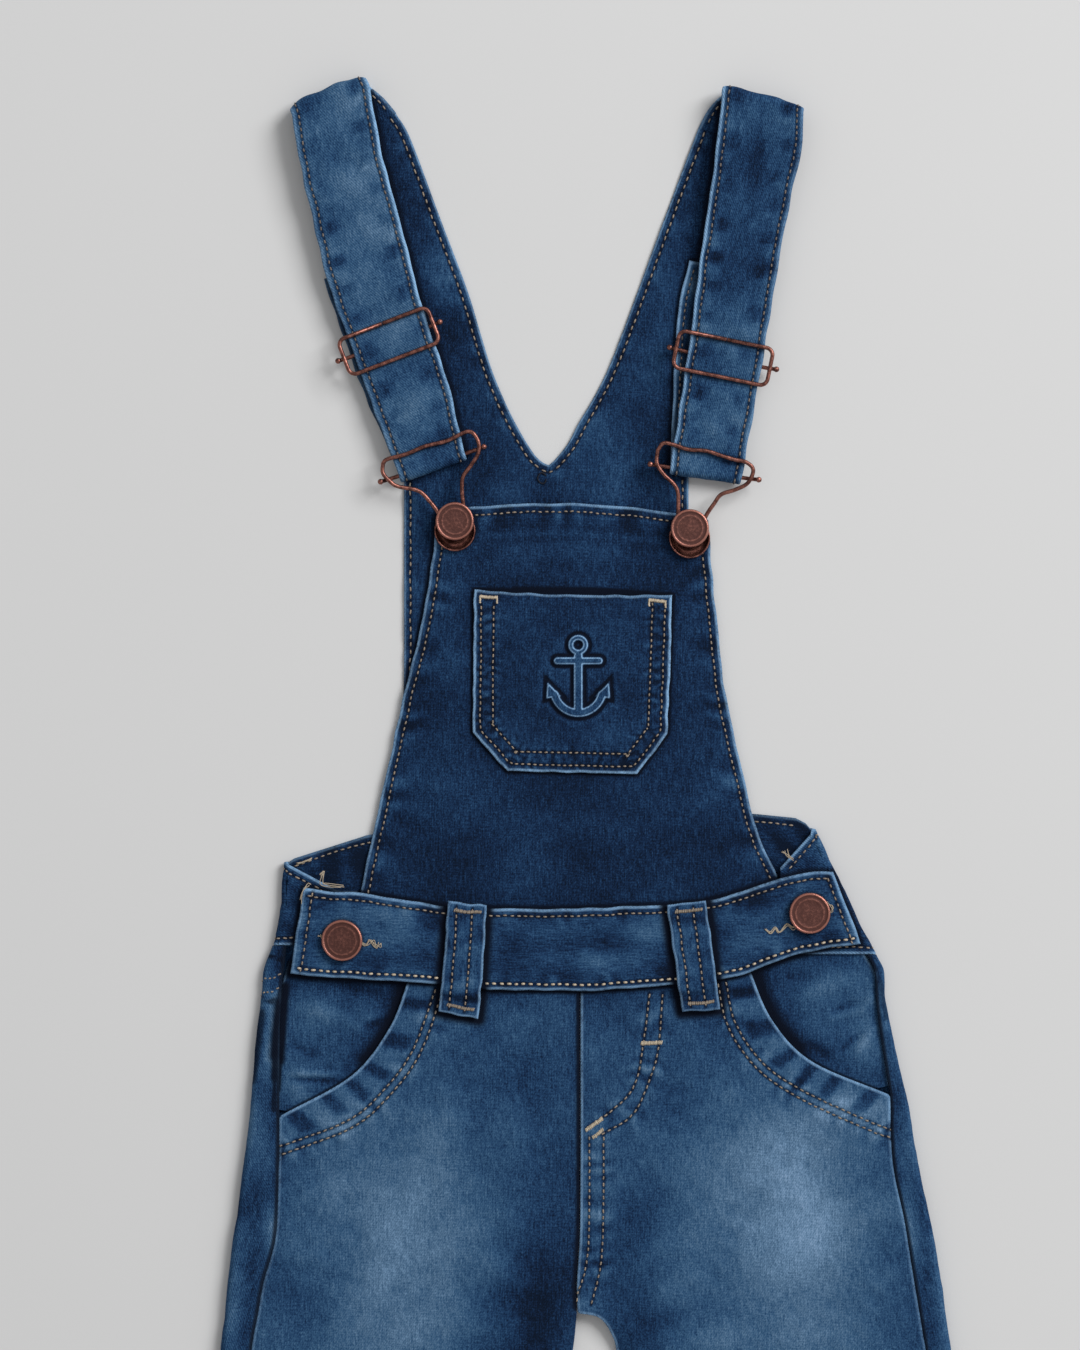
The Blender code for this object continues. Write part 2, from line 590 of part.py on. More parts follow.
def back_waistband(finish):
    """Band flat on the surface, both ends wrapped over to the front."""
    far, near = wrap_section(WAIST_LIFT)
    wrap_share = np.array([1.0, 0.6, 0.3])
    floor_share = np.linspace(0, 1, 15)[1:-1]
    outer, inner = [], []
    for share, left, right in BACK_BAND_SIDES:
        row = {}
        for kind, section in (("outer", far), ("inner", near)):
            high = WAIST_LIFT if kind == "outer" else WAIST_LIFT - CLOTH
            low = 0.0 if kind == "outer" else CLOTH
            wrap_left = np.concatenate([(BACK_BAND_ENDS[0] - left) * wrap_share, section[:, 0]])
            wrap_right = np.concatenate([(right - BACK_BAND_ENDS[1]) * wrap_share, section[:, 0]])
            up_wrap = np.concatenate([np.full(3, high), section[:, 1]])
            floor_x = left + far[-1, 0] + (right - left - 2 * far[-1, 0]) * floor_share
            x = np.concatenate([left + wrap_left, floor_x, right - wrap_right[::-1]])
            z = np.concatenate([up_wrap, np.full(len(floor_x), low), up_wrap[::-1]])
            row[kind] = (x, z)
        x = row["outer"][0]
        ends = len(wrap_share) + len(far)
        level = np.arange(len(x))
        edge_x = np.where(level < ends, left, np.where(level >= len(x) - ends, right, x))
        low_y = np.interp(edge_x, BACK_BAND_LOW_X, BACK_BAND_LOW_Y)
        low_y = np.where(level < ends, BACK_BAND_LOW_Y[0], low_y)
        low_y = np.where(level >= len(x) - ends, BACK_BAND_LOW_Y[-1], low_y)
        top_y = np.interp(edge_x, BACK_BAND_TOP_X, BACK_BAND_TOP_Y)
        top_y = np.where(level < ends, BACK_BAND_TOP_Y[0], top_y)
        top_y = np.where(level >= len(x) - ends, BACK_BAND_TOP_Y[-1], top_y)
        on_top = len(wrap_share) + 1
        slope, most = BACK_BAND_DROP_LEFT
        drop = np.where(level < on_top, np.minimum(slope * (x - left), most), 0.0)
        slope, most = BACK_BAND_DROP_RIGHT
        drop = np.where(level >= len(x) - on_top, np.minimum(slope * (right - x), most), drop)
        y = low_y + (top_y - low_y - drop) * share
        outer.append(np.column_stack([x, y, row["outer"][1]]))
        inner.append(np.column_stack([row["inner"][0], y, row["inner"][1]]))
    wall("waistband_back", np.array(outer), np.array(inner), finish)


def front_waistband(finish):
    rows = through(FRONT_BAND, 2)
    plan = across(rows[:, 2:], rows[:, :2], 4)
    height = np.full(plan.shape[:2], BAND_TOP)
    height[:, 1:-1] += 0.25
    outer = np.dstack([plan, height])
    inner = np.dstack([plan, np.full(plan.shape[:2], BAND_LOW)])
    wall("waistband_front", outer, inner, finish)


def bib_height(x, y):
    """Outer side of the bib: at rest along its edges, gently crowned between them."""
    table = np.array(BIB)
    left = np.interp(y, table[:, 1], table[:, 0])
    right = np.interp(y, table[:, 3], table[:, 2])
    share = np.clip((x - left) / (right - left), 0, 1)
    return BIB_REST + np.interp(y, BIB_LOFT_Y, BIB_LOFT_Z) * 4 * share * (1 - share)


def bowed(rows, cells):
    """Grid between the two edges of each row, its middle raised by the last column."""
    plan = across(rows[:, :2], rows[:, 2:4], cells)
    u = np.linspace(0, 1, cells + 1)[None, :]
    plan[..., 1] += rows[:, 4:5] * 4 * u * (1 - u)
    return plan


def bib_front(finish):
    plan = bowed(through(BIB, 2), 14)
    laid_wall("bib_front", plan, bib_height(plan[..., 0], plan[..., 1]), CLOTH, finish)


def bib_pocket(finish):
    """Patch pocket: the bib's own heights moved out, with a little puff in its middle."""
    rows = np.concatenate([through(BIB_POCKET, 3), through(BIB_POCKET_TIP, 2)[1:]])
    plan = bowed(rows, 10)
    under = bib_height(plan[..., 0], plan[..., 1]) + SEAM
    u = np.linspace(0, 1, plan.shape[1])[None, :]
    v = np.linspace(0, 1, plan.shape[0])[:, None]
    puff = POCKET_PUFF * np.sin(math.pi * u) * np.sin(math.pi * v)
    wall("bib_pocket", np.dstack([plan, under + CLOTH + puff]), np.dstack([plan, under]), finish)


def arc(middle, radius, start, end, count):
    """Points on an arc, angles in degrees."""
    angles = np.radians(np.linspace(start, end, count))
    return [(middle[0] + radius * math.cos(a), middle[1] + radius * math.sin(a)) for a in angles]


def anchor(finish):
    """Ring, stock, shank and two curved arms with pointed flukes, joined to one piece."""
    x, y = ANCHOR_AT
    foot = y - ANCHOR_HEIGHT / 2
    crown = y + ANCHOR_HEIGHT / 2
    ring_middle = (x, crown - ANCHOR_RING[0])
    under = float(bib_height(np.array(x), np.array(y))) + SEAM + CLOTH + POCKET_PUFF + SEAM
    top = under + ANCHOR_RAISED

    half = ANCHOR_BAR / 2
    ring_foot = crown - 2 * ANCHOR_RING[0]
    stock_y = ring_foot - ANCHOR_STOCK_BELOW_RING
    stock, thick = ANCHOR_STOCK[0] / 2, ANCHOR_STOCK[1]
    shank = [
        (x - half, foot + 2), (x + half, foot + 2), (x + half, stock_y - thick),
        (x + stock, stock_y - thick), (x + stock, stock_y), (x + half, stock_y),
        (x + half, ring_foot + 1), (x - half, ring_foot + 1),
        (x - half, stock_y), (x - stock, stock_y), (x - stock, stock_y - thick),
        (x - half, stock_y - thick),
    ]
    body = plate("pocket_anchor", shank, under, top, finish)

    reach = ANCHOR_WIDTH / 2
    tips_y = foot + reach
    fluke = [
        (reach + out, tips_y + up)
        for out, up in (ANCHOR_FLUKE_BACK, ANCHOR_FLUKE_TIP, ANCHOR_FLUKE_FRONT)
    ]
    arms = arc((x, tips_y), ANCHOR_ARM_RADII[0], 198, 342, 15)
    arms += [(x + out, fluke_y) for out, fluke_y in fluke]
    arms += arc((x, tips_y), ANCHOR_ARM_RADII[1], 334, 206, 13)
    arms += [(x - out, fluke_y) for out, fluke_y in fluke[::-1]]
    join(body, plate("anchor_arms", arms, under + 0.02, top - 0.05, finish))

    big, small = ANCHOR_RING
    hole = plate("anchor_ring_hole", arc(ring_middle, small, 0, 342, 20), under - 1, top + 1, finish)
    ring = plate("anchor_ring", arc(ring_middle, big, 9, 351, 20), under + 0.03, top - 0.08, finish)
    join(body, ring)
    join(body, hole, "DIFFERENCE")


def join(body, tool, operation="UNION"):
    modifier = body.modifiers.new(tool.name, "BOOLEAN")
    modifier.operation = operation
    modifier.solver = "EXACT"
    modifier.object = tool
    tool.hide_render = True
    tool.display_type = "WIRE"


def belt_loop(side, table, finish):
    rows = through(table, 2)
    plan = across(rows[:, :2], rows[:, 2:4], 3)
    under = np.repeat(rows[:, 4:5], 4, axis=1)
    outer = np.dstack([plan, under + LOOP_CLOTH])
    wall(f"belt_loop_{side}", outer, np.dstack([plan, under]), finish)


def back_bib(finish):
    """Y-shaped back with the strap runs that lie on the surface."""
    outline = []
    for edge in (BACK_BIB_LEFT, BACK_BIB_NECK_LEFT[:-1], BACK_BIB_NECK_RIGHT, BACK_BIB_RIGHT):
        outline += through(edge, 2).tolist()
    band = [(30.0, 208.3 + SEAM), (-30.0, 206.3 + SEAM)]
    plate("back_bib", outline + band, 0.0, CLOTH, finish)


def folded_over(row, low, high, count):
    """Rows round a half circle from the low layer to the high one, bulging past the row."""
    left, right = np.array(row[:2]), np.array(row[2:4])
    along = (right - left) / np.linalg.norm(right - left)
    out = np.array([-along[1], along[0]])
    radius = abs(high - low) / 2
    rows = []
    for angle in np.linspace(0, math.pi, count + 1)[1:-1]:
        push = radius * math.sin(angle) * out
        z = low + (high - low) * (1 - math.cos(angle)) / 2
        rows.append([*(left + push), *(right + push), z])
    return rows


def strap(side, tail, front, back, finish):
    """Strap along its length: under the shoulder fold, down the front, round the bar and back up."""
    shoulder = front[0]
    floor = STRAP_CLOTH / 2
    front_rows = through(front, 2)
    end = front[-1]
    turned_row = (end[2], end[3], end[0], end[1])
    bend = [
        [r[2], r[3], r[0], r[1], r[4]]
        for r in folded_over(turned_row, STRAP_HIGH, STRAP_LOW, 6)
    ]
    rows = [[*tail, floor], [*shoulder[:4], floor]]
    rows += folded_over(shoulder, floor, STRAP_FOLD_TOP, 7)
    rows = np.array(rows + front_rows.tolist() + bend + through(back, 2).tolist())
    left = rows[:, [0, 1, 4]]
    right = rows[:, [2, 3, 4]]
    run = np.gradient((left + right) / 2, axis=0)
    normal = np.cross(run, right - left)
    normal /= np.linalg.norm(normal, axis=1)[:, None]
    u = np.linspace(0, 1, 4)[None, :, None]
    middle = left[:, None] * (1 - u) + right[:, None] * u
    push = normal[:, None] * STRAP_CLOTH / 2
    wall(f"strap_{side}", middle + push, middle - push, finish)


def bar(name, start, end, frame_out, finish):
    """Wire under the strap; each end passes under the frame, frame_out away, and curls up past it."""
    start, end = np.array(start), np.array(end)
    along = (end - start) / np.linalg.norm(end - start)
    path = [[*(start - along * (frame_out[0] + step)), height] for step, height in BAR_CURL]
    path += [[*((start + end) / 2), BAR_HEIGHT]]
    path += [[*(end + along * (frame_out[1] + step)), height] for step, height in BAR_CURL[::-1]]
    tube(name, path, False, 8, finish)


def slider(side, place, finish):
    """Wire rectangle with round corners over the strap, and the bar below the front run."""
    middle = np.array(place[:2])
    turn = math.radians(place[2])
    along = np.array([math.cos(turn), math.sin(turn)])
    up = np.array([-along[1], along[0]])
    half_width, half_height = SLIDER_WIDTH / 2, SLIDER_HEIGHT / 2
    path = []
    for quarter, (right, top) in enumerate(((1, 1), (-1, 1), (-1, -1), (1, -1))):
        corner = (right * (half_width - SLIDER_CORNER), top * (half_height - SLIDER_CORNER))
        path += arc(corner, SLIDER_CORNER, quarter * 90, quarter * 90 + 90, 5)
    path = [[*(middle + a * along + b * up), FRAME_HEIGHT] for a, b in path]
    tube(f"slider_{side}", path, True, 8, finish)
    reach = along * SLIDER_STRAP_HALF
    out = half_width - SLIDER_STRAP_HALF
    bar(f"slider_bar_{side}", middle - reach, middle + reach, (out, out), finish)


def buckle(side, wire, strap_end, finish):
    """Buckle wire round the tack button, the bar in the strap's fold, and the stamped cup."""
    loop = np.array(wire + wire[:1])
    tube(f"buckle_{side}", through(loop, 2)[:-1], True, 6, finish)
    bar(f"buckle_bar_{side}", strap_end[:2], strap_end[2:4], BUCKLE_BAR_OUT[side], finish)
    x, y = BIB_BUTTONS[side]
    cup = arc((x, y - CUP_DROP), CUP_RADIUS, -205, 25, 24)
    cup += arc((x, y), CUP_HOLE, 20, -200, 16)
    plate(f"buckle_cup_{side}", cup, CUP_LOW, CUP_LOW + CUP_THICK, finish)


def tack_button(name, middle, radius, low, head_low, finish):
    """Shank and a head with a rounded raised rim round a shallow dish."""
    top = head_low + BUTTON_HEAD
    profile = (
        (0.0, low), (BUTTON_SHANK, low), (BUTTON_SHANK, head_low), (radius - 0.5, head_low),
        (radius, head_low + 0.6), (radius, top - 0.7), (radius - 0.4, top - 0.15),
        (radius - 1.0, top), (radius - 1.7, top - 0.5), (0.0, top - 0.25),
    )
    turned(name, middle, profile, 20, finish)


def main():
    clear_scene()
    back_bib(BACK_DENIM)
    back_waistband(BACK_DENIM)
    leg_back("left", BACK_LEFT_TOP, LEG_LEFT_HIP, LEG_LEFT_LOW, MID_DENIM)
    leg_back("right", BACK_RIGHT_TOP, LEG_RIGHT_HIP, LEG_RIGHT_LOW, MID_DENIM)
    hip_cloth("left", HIP_LEFT, MID_DENIM)
    hip_cloth("right", HIP_RIGHT, MID_DENIM)
    leg_front("left", MOUTH_LEFT, LEG_LEFT_HIP, LEG_LEFT_LOW, MID_DENIM)
    leg_front("right", MOUTH_RIGHT, LEG_RIGHT_HIP, LEG_RIGHT_LOW, MID_DENIM)
    bib_front(DARK_DENIM)
    bib_pocket(DARK_DENIM)
    anchor(MID_DENIM)
    front_waistband(DARK_DENIM)
    belt_loop("left", LOOP_LEFT, DARK_DENIM)
    belt_loop("right", LOOP_RIGHT, DARK_DENIM)
    strap("left", STRAP_LEFT_TAIL, STRAP_LEFT_FRONT, STRAP_LEFT_RETURN, STRAP_DENIM)
    strap("right", STRAP_RIGHT_TAIL, STRAP_RIGHT_FRONT, STRAP_RIGHT_RETURN, STRAP_DENIM)
    slider("left", SLIDER_LEFT, COPPER)
    slider("right", SLIDER_RIGHT, COPPER)
    buckle("left", BUCKLE_LEFT, STRAP_LEFT_FRONT[-1], COPPER)
    buckle("right", BUCKLE_RIGHT, STRAP_RIGHT_FRONT[-1], COPPER)
    for side in ("left", "right"):
        name, place = f"bib_button_{side}", BIB_BUTTONS[side]
        tack_button(name, place, BIB_BUTTON_RADIUS, BIB_SHANK_LOW, BIB_HEAD_LOW, COPPER)
        name, place = f"waist_button_{side}", WAIST_BUTTONS[side]
        tack_button(name, place, WAIST_BUTTON_RADIUS, WAIST_SHANK_LOW, WAIST_HEAD_LOW, COPPER)


main()
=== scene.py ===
"""Denim bib overalls laid flat: cloth walls, sewing, copper fittings, floor, light and camera.

Shapes are drawn in millimetres from the crotch, x to the viewer's right, y towards the straps
and z up from the floor, and moved to the frame when they are put into a mesh.
"""
import math

import bpy
import numpy as np
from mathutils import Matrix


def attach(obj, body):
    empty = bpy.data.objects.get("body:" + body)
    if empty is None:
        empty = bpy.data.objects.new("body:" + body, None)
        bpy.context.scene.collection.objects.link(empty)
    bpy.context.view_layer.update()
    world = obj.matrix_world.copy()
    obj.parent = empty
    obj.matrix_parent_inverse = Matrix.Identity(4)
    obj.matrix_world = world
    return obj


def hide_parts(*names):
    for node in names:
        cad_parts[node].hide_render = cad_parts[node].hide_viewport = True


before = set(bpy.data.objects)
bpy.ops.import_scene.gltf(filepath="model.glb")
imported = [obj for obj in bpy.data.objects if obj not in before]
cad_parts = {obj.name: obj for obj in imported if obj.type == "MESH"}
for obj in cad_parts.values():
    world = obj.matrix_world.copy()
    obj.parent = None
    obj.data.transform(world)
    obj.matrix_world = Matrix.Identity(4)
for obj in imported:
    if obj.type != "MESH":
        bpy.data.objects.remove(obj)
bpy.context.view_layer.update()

# Driving dimensions, in millimetres
MM = 0.001
OUTLINE_MIDDLE = (5.0, 97.0, 0.0)
CLOTH = 1.2
SEAM = 0.3
HALF_SEAM = SEAM / 2
STRAP_CLOTH = 1.8
BAND_CLOTH = 2.4
LOOP_CLOTH = 1.8
WIRE = 1.7
WAIST_LIFT = 4.4
BIB_REST = 2 * CLOTH + SEAM + 0.1
BAND_LOW = WAIST_LIFT + SEAM
BAND_TOP = BAND_LOW + BAND_CLOTH
STRAP_LOW = CLOTH + SEAM + STRAP_CLOTH / 2
STRAP_HIGH = STRAP_LOW + STRAP_CLOTH + WIRE + 2 * SEAM
STRAP_FOLD_TOP = 9.5
BAR_HEIGHT = (STRAP_LOW + STRAP_HIGH) / 2
FRAME_HEIGHT = STRAP_HIGH + STRAP_CLOTH / 2 + SEAM + WIRE / 2

# Grid of a cloth wall: cell size, and the closer lines that round its edges
CELL = 1.25
LOW_CELL = 3.2
POCKET_CELL = 0.62
LOOP_CELL = 0.9
EDGE_LINES = (0.0, 0.12, 0.4, 0.85)
ROLL = 0.85

# Sewing
GROOVE = 0.22
GROOVE_HALF = 0.9
PUCKER = 0.22
PUCKER_SHADE = 0.17
PUCKER_REACH = 3.6
THREAD = 0.30
STITCH_SHARE = 0.60
RIPPLE = 6.28

# Distance that stands for no edge, row or outline near, and its share where cloth is covered
FAR = 30.0
FAR_SHARE = 9.0

# Legs from the pocket mouths down: side y, outer edge x, side seam x, inner x, inner y
LEG_LEFT_HIP = (
    (81.3, -135.6, -123.4, 1.2, 84),
    (60.6, -138.2, -123.7, 1.2, 60),
    (32, -142.3, -124.9, 0.9, 32),
    (12.9, -144.6, -129.9, -0.3, 12),
    (0, -146, -132.2, 0, 0),
)
LEG_LEFT_LOW = (
    (0, -146, -132.2, 0, 0),
    (-15.4, -147.7, -134.9, -1.7, -16),
    (-40, -149.3, -136.8, -6.5, -40),
    (-75, -150.5, -138.2, -14, -75),
    (-115, -151, -139.3, -22.5, -115),
    (-160, -151, -140, -30.5, -160),
    (-210, -151, -140.6, -37.5, -210),
    (-262, -151, -141, -42.5, -262),
    (-302, -151, -141, -45.3, -302),
    (-318, -151, -141, -46, -318),
)
LEG_RIGHT_HIP = (
    (90.1, 136.4, 129.6, 1.2, 84),
    (62.7, 141, 130.7, 1.2, 60),
    (36.9, 146.6, 135.7, 0.9, 32),
    (14, 150.6, 139.4, -0.3, 12),
    (2, 152.2, 141.4, 0, 0),
)
LEG_RIGHT_LOW = (
    (2, 152.2, 141.4, 0, 0),
    (-3.5, 153, 142.4, 9, -2.1),
    (-9.5, 153.9, 143.3, 14, -9),
    (-17, 154.9, 144.5, 16.2, -17),
    (-40, 157, 146.8, 18.5, -40),
    (-75, 158.8, 148.8, 24, -75),
    (-115, 160, 150.3, 31.5, -115),
    (-160, 160.7, 151, 39.5, -160),
    (-210, 161, 151.2, 46.5, -210),
    (-262, 161, 151.3, 52, -262),
    (-302, 161, 151.3, 55.5, -302),
    (-318, 161, 151.3, 56.5, -318),
)

# Back panels from the back waistband to the pocket mouths, same columns as the legs
BACK_LEFT_TOP = (
    (151.7, -126.2, -120.5, 1.2, 168),
    (142, -129.9, -121.5, 1.2, 150),
    (130, -130.7, -123, 1.2, 132),
    (108, -133.6, -123.4, 1.2, 110),
    (81.3, -135.6, -123.4, 1.2, 84),
)
BACK_RIGHT_TOP = (
    (148, 124, 120, 1.2, 168),
    (141, 127.2, 123.2, 1.2, 150),
    (129.5, 127.6, 123.8, 1.2, 132),
    (112.5, 131.1, 126, 1.2, 110),
    (90.1, 136.4, 129.6, 1.2, 84),
)

# Front panels along the pocket mouths: mouth x, mouth y, inner x, inner y
MOUTH_LEFT = (
    (-70, 141, 1.2, 138),
    (-71.4, 134, 1.2, 130),
    (-78.4, 117, 1.2, 115),
    (-93.8, 97.9, 1.2, 99),
    (-123.4, 81.3, 1.2, 84),
)
MOUTH_RIGHT = (
    (71, 146, 1.2, 138),
    (72.6, 139.4, 1.2, 130),
    (81.3, 120.3, 1.2, 115),
    (97.5, 103.8, 1.2, 99),
    (129.6, 90.1, 1.2, 84),
)

# Hip cloth behind the pocket mouths: left x, left y, right x, right y
HIP_LEFT = (
    (-119.5, 145.5, -58, 143),
    (-123.6, 130, -60, 127),
    (-124.4, 110, -68, 108),
    (-124.4, 95, -82, 91),
    (-124.4, 84, -98, 80),
)
HIP_RIGHT = (
    (60, 144, 114.5, 155),
    (61.5, 128, 124.3, 139),
    (69, 112, 125.6, 122),
    (83, 96, 127.8, 107),
    (99, 86, 129.6, 94),
)

# Height of the flattened legs and hips above the floor, by y
LIFT_Y = (-318.0, -302.0, -200.0, -60.0, 20.0, 80.0, 120.0, 160.0)
LIFT_Z = (4.6, 4.7, 5.2, 5.6, 5.6, 5.2, 4.4, 4.4)
HEM_HEIGHT = 16.0
HEM_STEP = 0.6
HEM_ROW_ABOVE = 1.5
INNER_EDGE_WIDTH = 10.0

# Back waistband: share of its height, left edge x, right edge x; its ends under the front band
BACK_BAND_SIDES = (
    (0.00, -126.2, 124),
    (0.25, -123.9, 116.9),
    (0.50, -122.5, 111.4),
    (0.75, -122.4, 104.4),
    (1.00, -121.5, 98.8),
)
BACK_BAND_TOP_X = (-121.5, -87.0, -30.0, 30.0, 73.5, 90.5, 98.8)
BACK_BAND_TOP_Y = (186.5, 197.5, 206.0, 208.0, 206.3, 204.6, 200.4)
BACK_BAND_ENDS = (-91.0, 84.0)
BACK_BAND_LOW_X = (-126.2, 1.2, 124.0)
BACK_BAND_LOW_Y = (151.7 + SEAM, 168.0 + 3 * SEAM, 148.0 + SEAM)
BACK_BAND_DROP_LEFT = (0.53, 12.0)
BACK_BAND_DROP_RIGHT = (1.10, 18.0)

# Front waistband, along it: top x, top y, bottom x, bottom y
FRONT_BAND = (
    (-113.3, 176, -118.7, 140.3),
    (-104, 174.6, -106, 139.1),
    (-88.4, 173.5, -90.1, 138.2),
    (-56, 168.5, -56.9, 136.2),
    (-31, 167.4, -35, 133.8),
    (-7.1, 167.2, -13.3, 133.6),
    (17.8, 168.1, 9.5, 133.6),
    (53.5, 170.6, 59.8, 138.2),
    (84.2, 179.7, 88, 147.4),
    (96, 182.4, 103, 151),
    (105.8, 182.4, 117.4, 152.7),
)

# Bib from the waistband up: left x, left y, right x, right y, rise of the middle
BIB = (
    (-90.5, 171, 85, 175, -10),
    (-89.2, 177, 83, 181, -8),
    (-84.5, 199, 75.5, 197, -3),
    (-79.7, 220.4, 70.3, 216, -1),
    (-71.4, 257.7, 61.8, 254.8, 0),
    (-65.2, 281.8, 58.8, 280, 0),
    (-60.2, 311.7, 55.6, 310, 2),
    (-58.1, 331.6, 54.4, 328.3, 5),
)
BIB_LOFT_Y = (160.0, 200.0, 290.0, 316.0)
BIB_LOFT_Z = (1.4, 1.9, 1.8, 0.3)

# Bib pocket from its mouth down: left x, left y, right x, right y, rise of the middle
BIB_POCKET = (
    (-42.7, 299.2, 39.4, 297.1, -1),
    (-43, 270, 38.5, 268.3, -0.2),
    (-43.2, 240.3, 37.4, 239.5, 0),
)
BIB_POCKET_TIP = (
    (-43.2, 240.3, 37.4, 239.5, 0),
    (-29, 224.1, 24.9, 222.9, 0),
)
POCKET_PUFF = 0.4

# Anchor pressed into the pocket: a plain sea anchor drawn with a ruler and compasses
ANCHOR_AT = (0.4, 263.5)
ANCHOR_HEIGHT = 34.0
ANCHOR_BAR = 1.85
ANCHOR_RING = 3.05
ANCHOR_RING_BAR = 1.1
ANCHOR_STOCK = (8.7, 1.5)
ANCHOR_STOCK_AT = 10.75
ANCHOR_ARM = 10.1
ANCHOR_ARM_BAR = 1.75
ANCHOR_FLUKES = ((12.8, 14.6), (13.3, 7.6), (7.0, 8.6))
ANCHOR_RAISED = 0.75
ANCHOR_MOAT = 0.45

# Belt loops, down their length: left x, left y, right x, right y, height of the underside
LOOP_LEFT = (
    (-53.5, 170.6, -37.4, 168.9, BAND_TOP + SEAM),
    (-54.6, 153, -38.4, 151.5, BAND_TOP + 0.7),
    (-56.2, 135, -39.8, 131.8, BAND_TOP + SEAM),
    (-56.6, 131.5, -40.2, 128.2, BAND_TOP - 1.2),
    (-57.3, 124.9, -40.9, 121.6, 5.6),
)
LOOP_RIGHT = (
    (36.9, 168.9, 53.2, 170.9, BAND_TOP + SEAM),
    (39.3, 152, 55.5, 153.4, BAND_TOP + 0.7),
    (41.8, 134.6, 57.6, 136.4, BAND_TOP + SEAM),
    (42.3, 131.2, 58.1, 132.6, BAND_TOP - 1.2),
    (43.4, 124.5, 59, 125.6, 5.6),
)

# Back bib, its two sides and its V neck, x and y, all from the waist up
BACK_BIB_LEFT = (
    (-78, 199.6), (-74.2, 228), (-72, 257.7), (-71.8, 300), (-71.8, 341),
    (-72, 372), (-75.5, 408), (-86.2, 440.8), (-96.4, 470), (-103.8, 482.6),
)
BACK_BIB_NECK_LEFT = (
    (-11.7, 350.9), (-14.6, 352.3), (-18.3, 356.1), (-24.1, 365.6), (-29.4, 376), (-35.3, 390.2),
    (-39.6, 404), (-45.6, 423.7), (-56.4, 452.3), (-69, 486), (-75.2, 496.8),
)
BACK_BIB_NECK_RIGHT = (
    (-11.7, 350.9), (-8.8, 353.6), (-3.7, 360), (0.7, 368.4), (6.3, 377.8), (12.6, 390.2),
    (19.6, 407.9), (32, 441.6), (41.5, 467.3), (50.3, 490.6),
)
BACK_BIB_RIGHT = (
    (65, 207), (57.5, 230), (51.5, 258), (47.5, 300), (46.2, 341),
    (48, 372), (53, 402), (62, 430.7), (71.5, 456.4), (80.8, 481.1),
)

# Straps, front run from the shoulder fold down: left x, left y, right x, right y, height
STRAP_LEFT_TAIL = (-103.8, 482.65, -75.2, 496.85)
STRAP_LEFT_FRONT = (
    (-117.6, 495, -86, 508, STRAP_FOLD_TOP),
    (-113.5, 470, -81.4, 482, 8.9),
    (-109.3, 452, -76.4, 463.2, 7.9),
    (-104.2, 430.4, -70.6, 442, 7),
    (-95.9, 405.9, -64.3, 416.8, STRAP_HIGH),
    (-84.5, 375, -54, 386.2, STRAP_HIGH),
    (-73.7, 346.3, -46.5, 355.5, STRAP_HIGH),
)
STRAP_LEFT_RETURN = (
    (-73.7, 346.3, -46.5, 355.5, STRAP_LOW),
    (-85.8, 375, -56, 386, STRAP_LOW),
    (-97.6, 406, -67, 417, STRAP_LOW),
    (-105.2, 428, -75, 438.5, STRAP_LOW),
)
STRAP_RIGHT_TAIL = (50.3, 490.65, 80.8, 481.15)
STRAP_RIGHT_FRONT = (
    (60, 505.5, 93.2, 496.5, STRAP_FOLD_TOP),
    (57.9, 487, 92.9, 483, 8.9),
    (55.6, 467.3, 88.7, 463.5, 7.9),
    (51, 437.8, 83.2, 434, 7),
    (47.3, 407.9, 78.2, 403.5, STRAP_HIGH),
    (42.7, 378, 73, 373, STRAP_HIGH),
    (38.5, 349.8, 67.9, 345.6, STRAP_HIGH),
)
STRAP_RIGHT_RETURN = (
    (38.5, 349.8, 67.9, 345.6, STRAP_LOW),
    (39.6, 378, 70, 374, STRAP_LOW),
    (41.3, 408, 72, 403.5, STRAP_LOW),
    (43.2, 423, 74.2, 418, STRAP_LOW),
    (46.5, 435.5, 77.2, 430.5, STRAP_LOW),
)

# Sliders: middle x, middle y, turn in degrees. Width and height are of the wire's middle.
SLIDERS = {"left": (-77.8, 401.7, 21.0), "right": (60.2, 394.7, -11.6)}
SLIDER_WIDTH = 39.5
SLIDER_HEIGHT = 15.6
SLIDER_CORNER = 3.0
SLIDER_STRAP_HALF = 16.4
SLIDER_JOINT = 0.35
BAR_CURL = ((2.9, 8.2), (2.5, 6.9), (0.4, 5.5), (-1.4, BAR_HEIGHT))
BUCKLE_BAR_OUT = {"left": (5.2, 5.6), "right": (5.7, 4.4)}

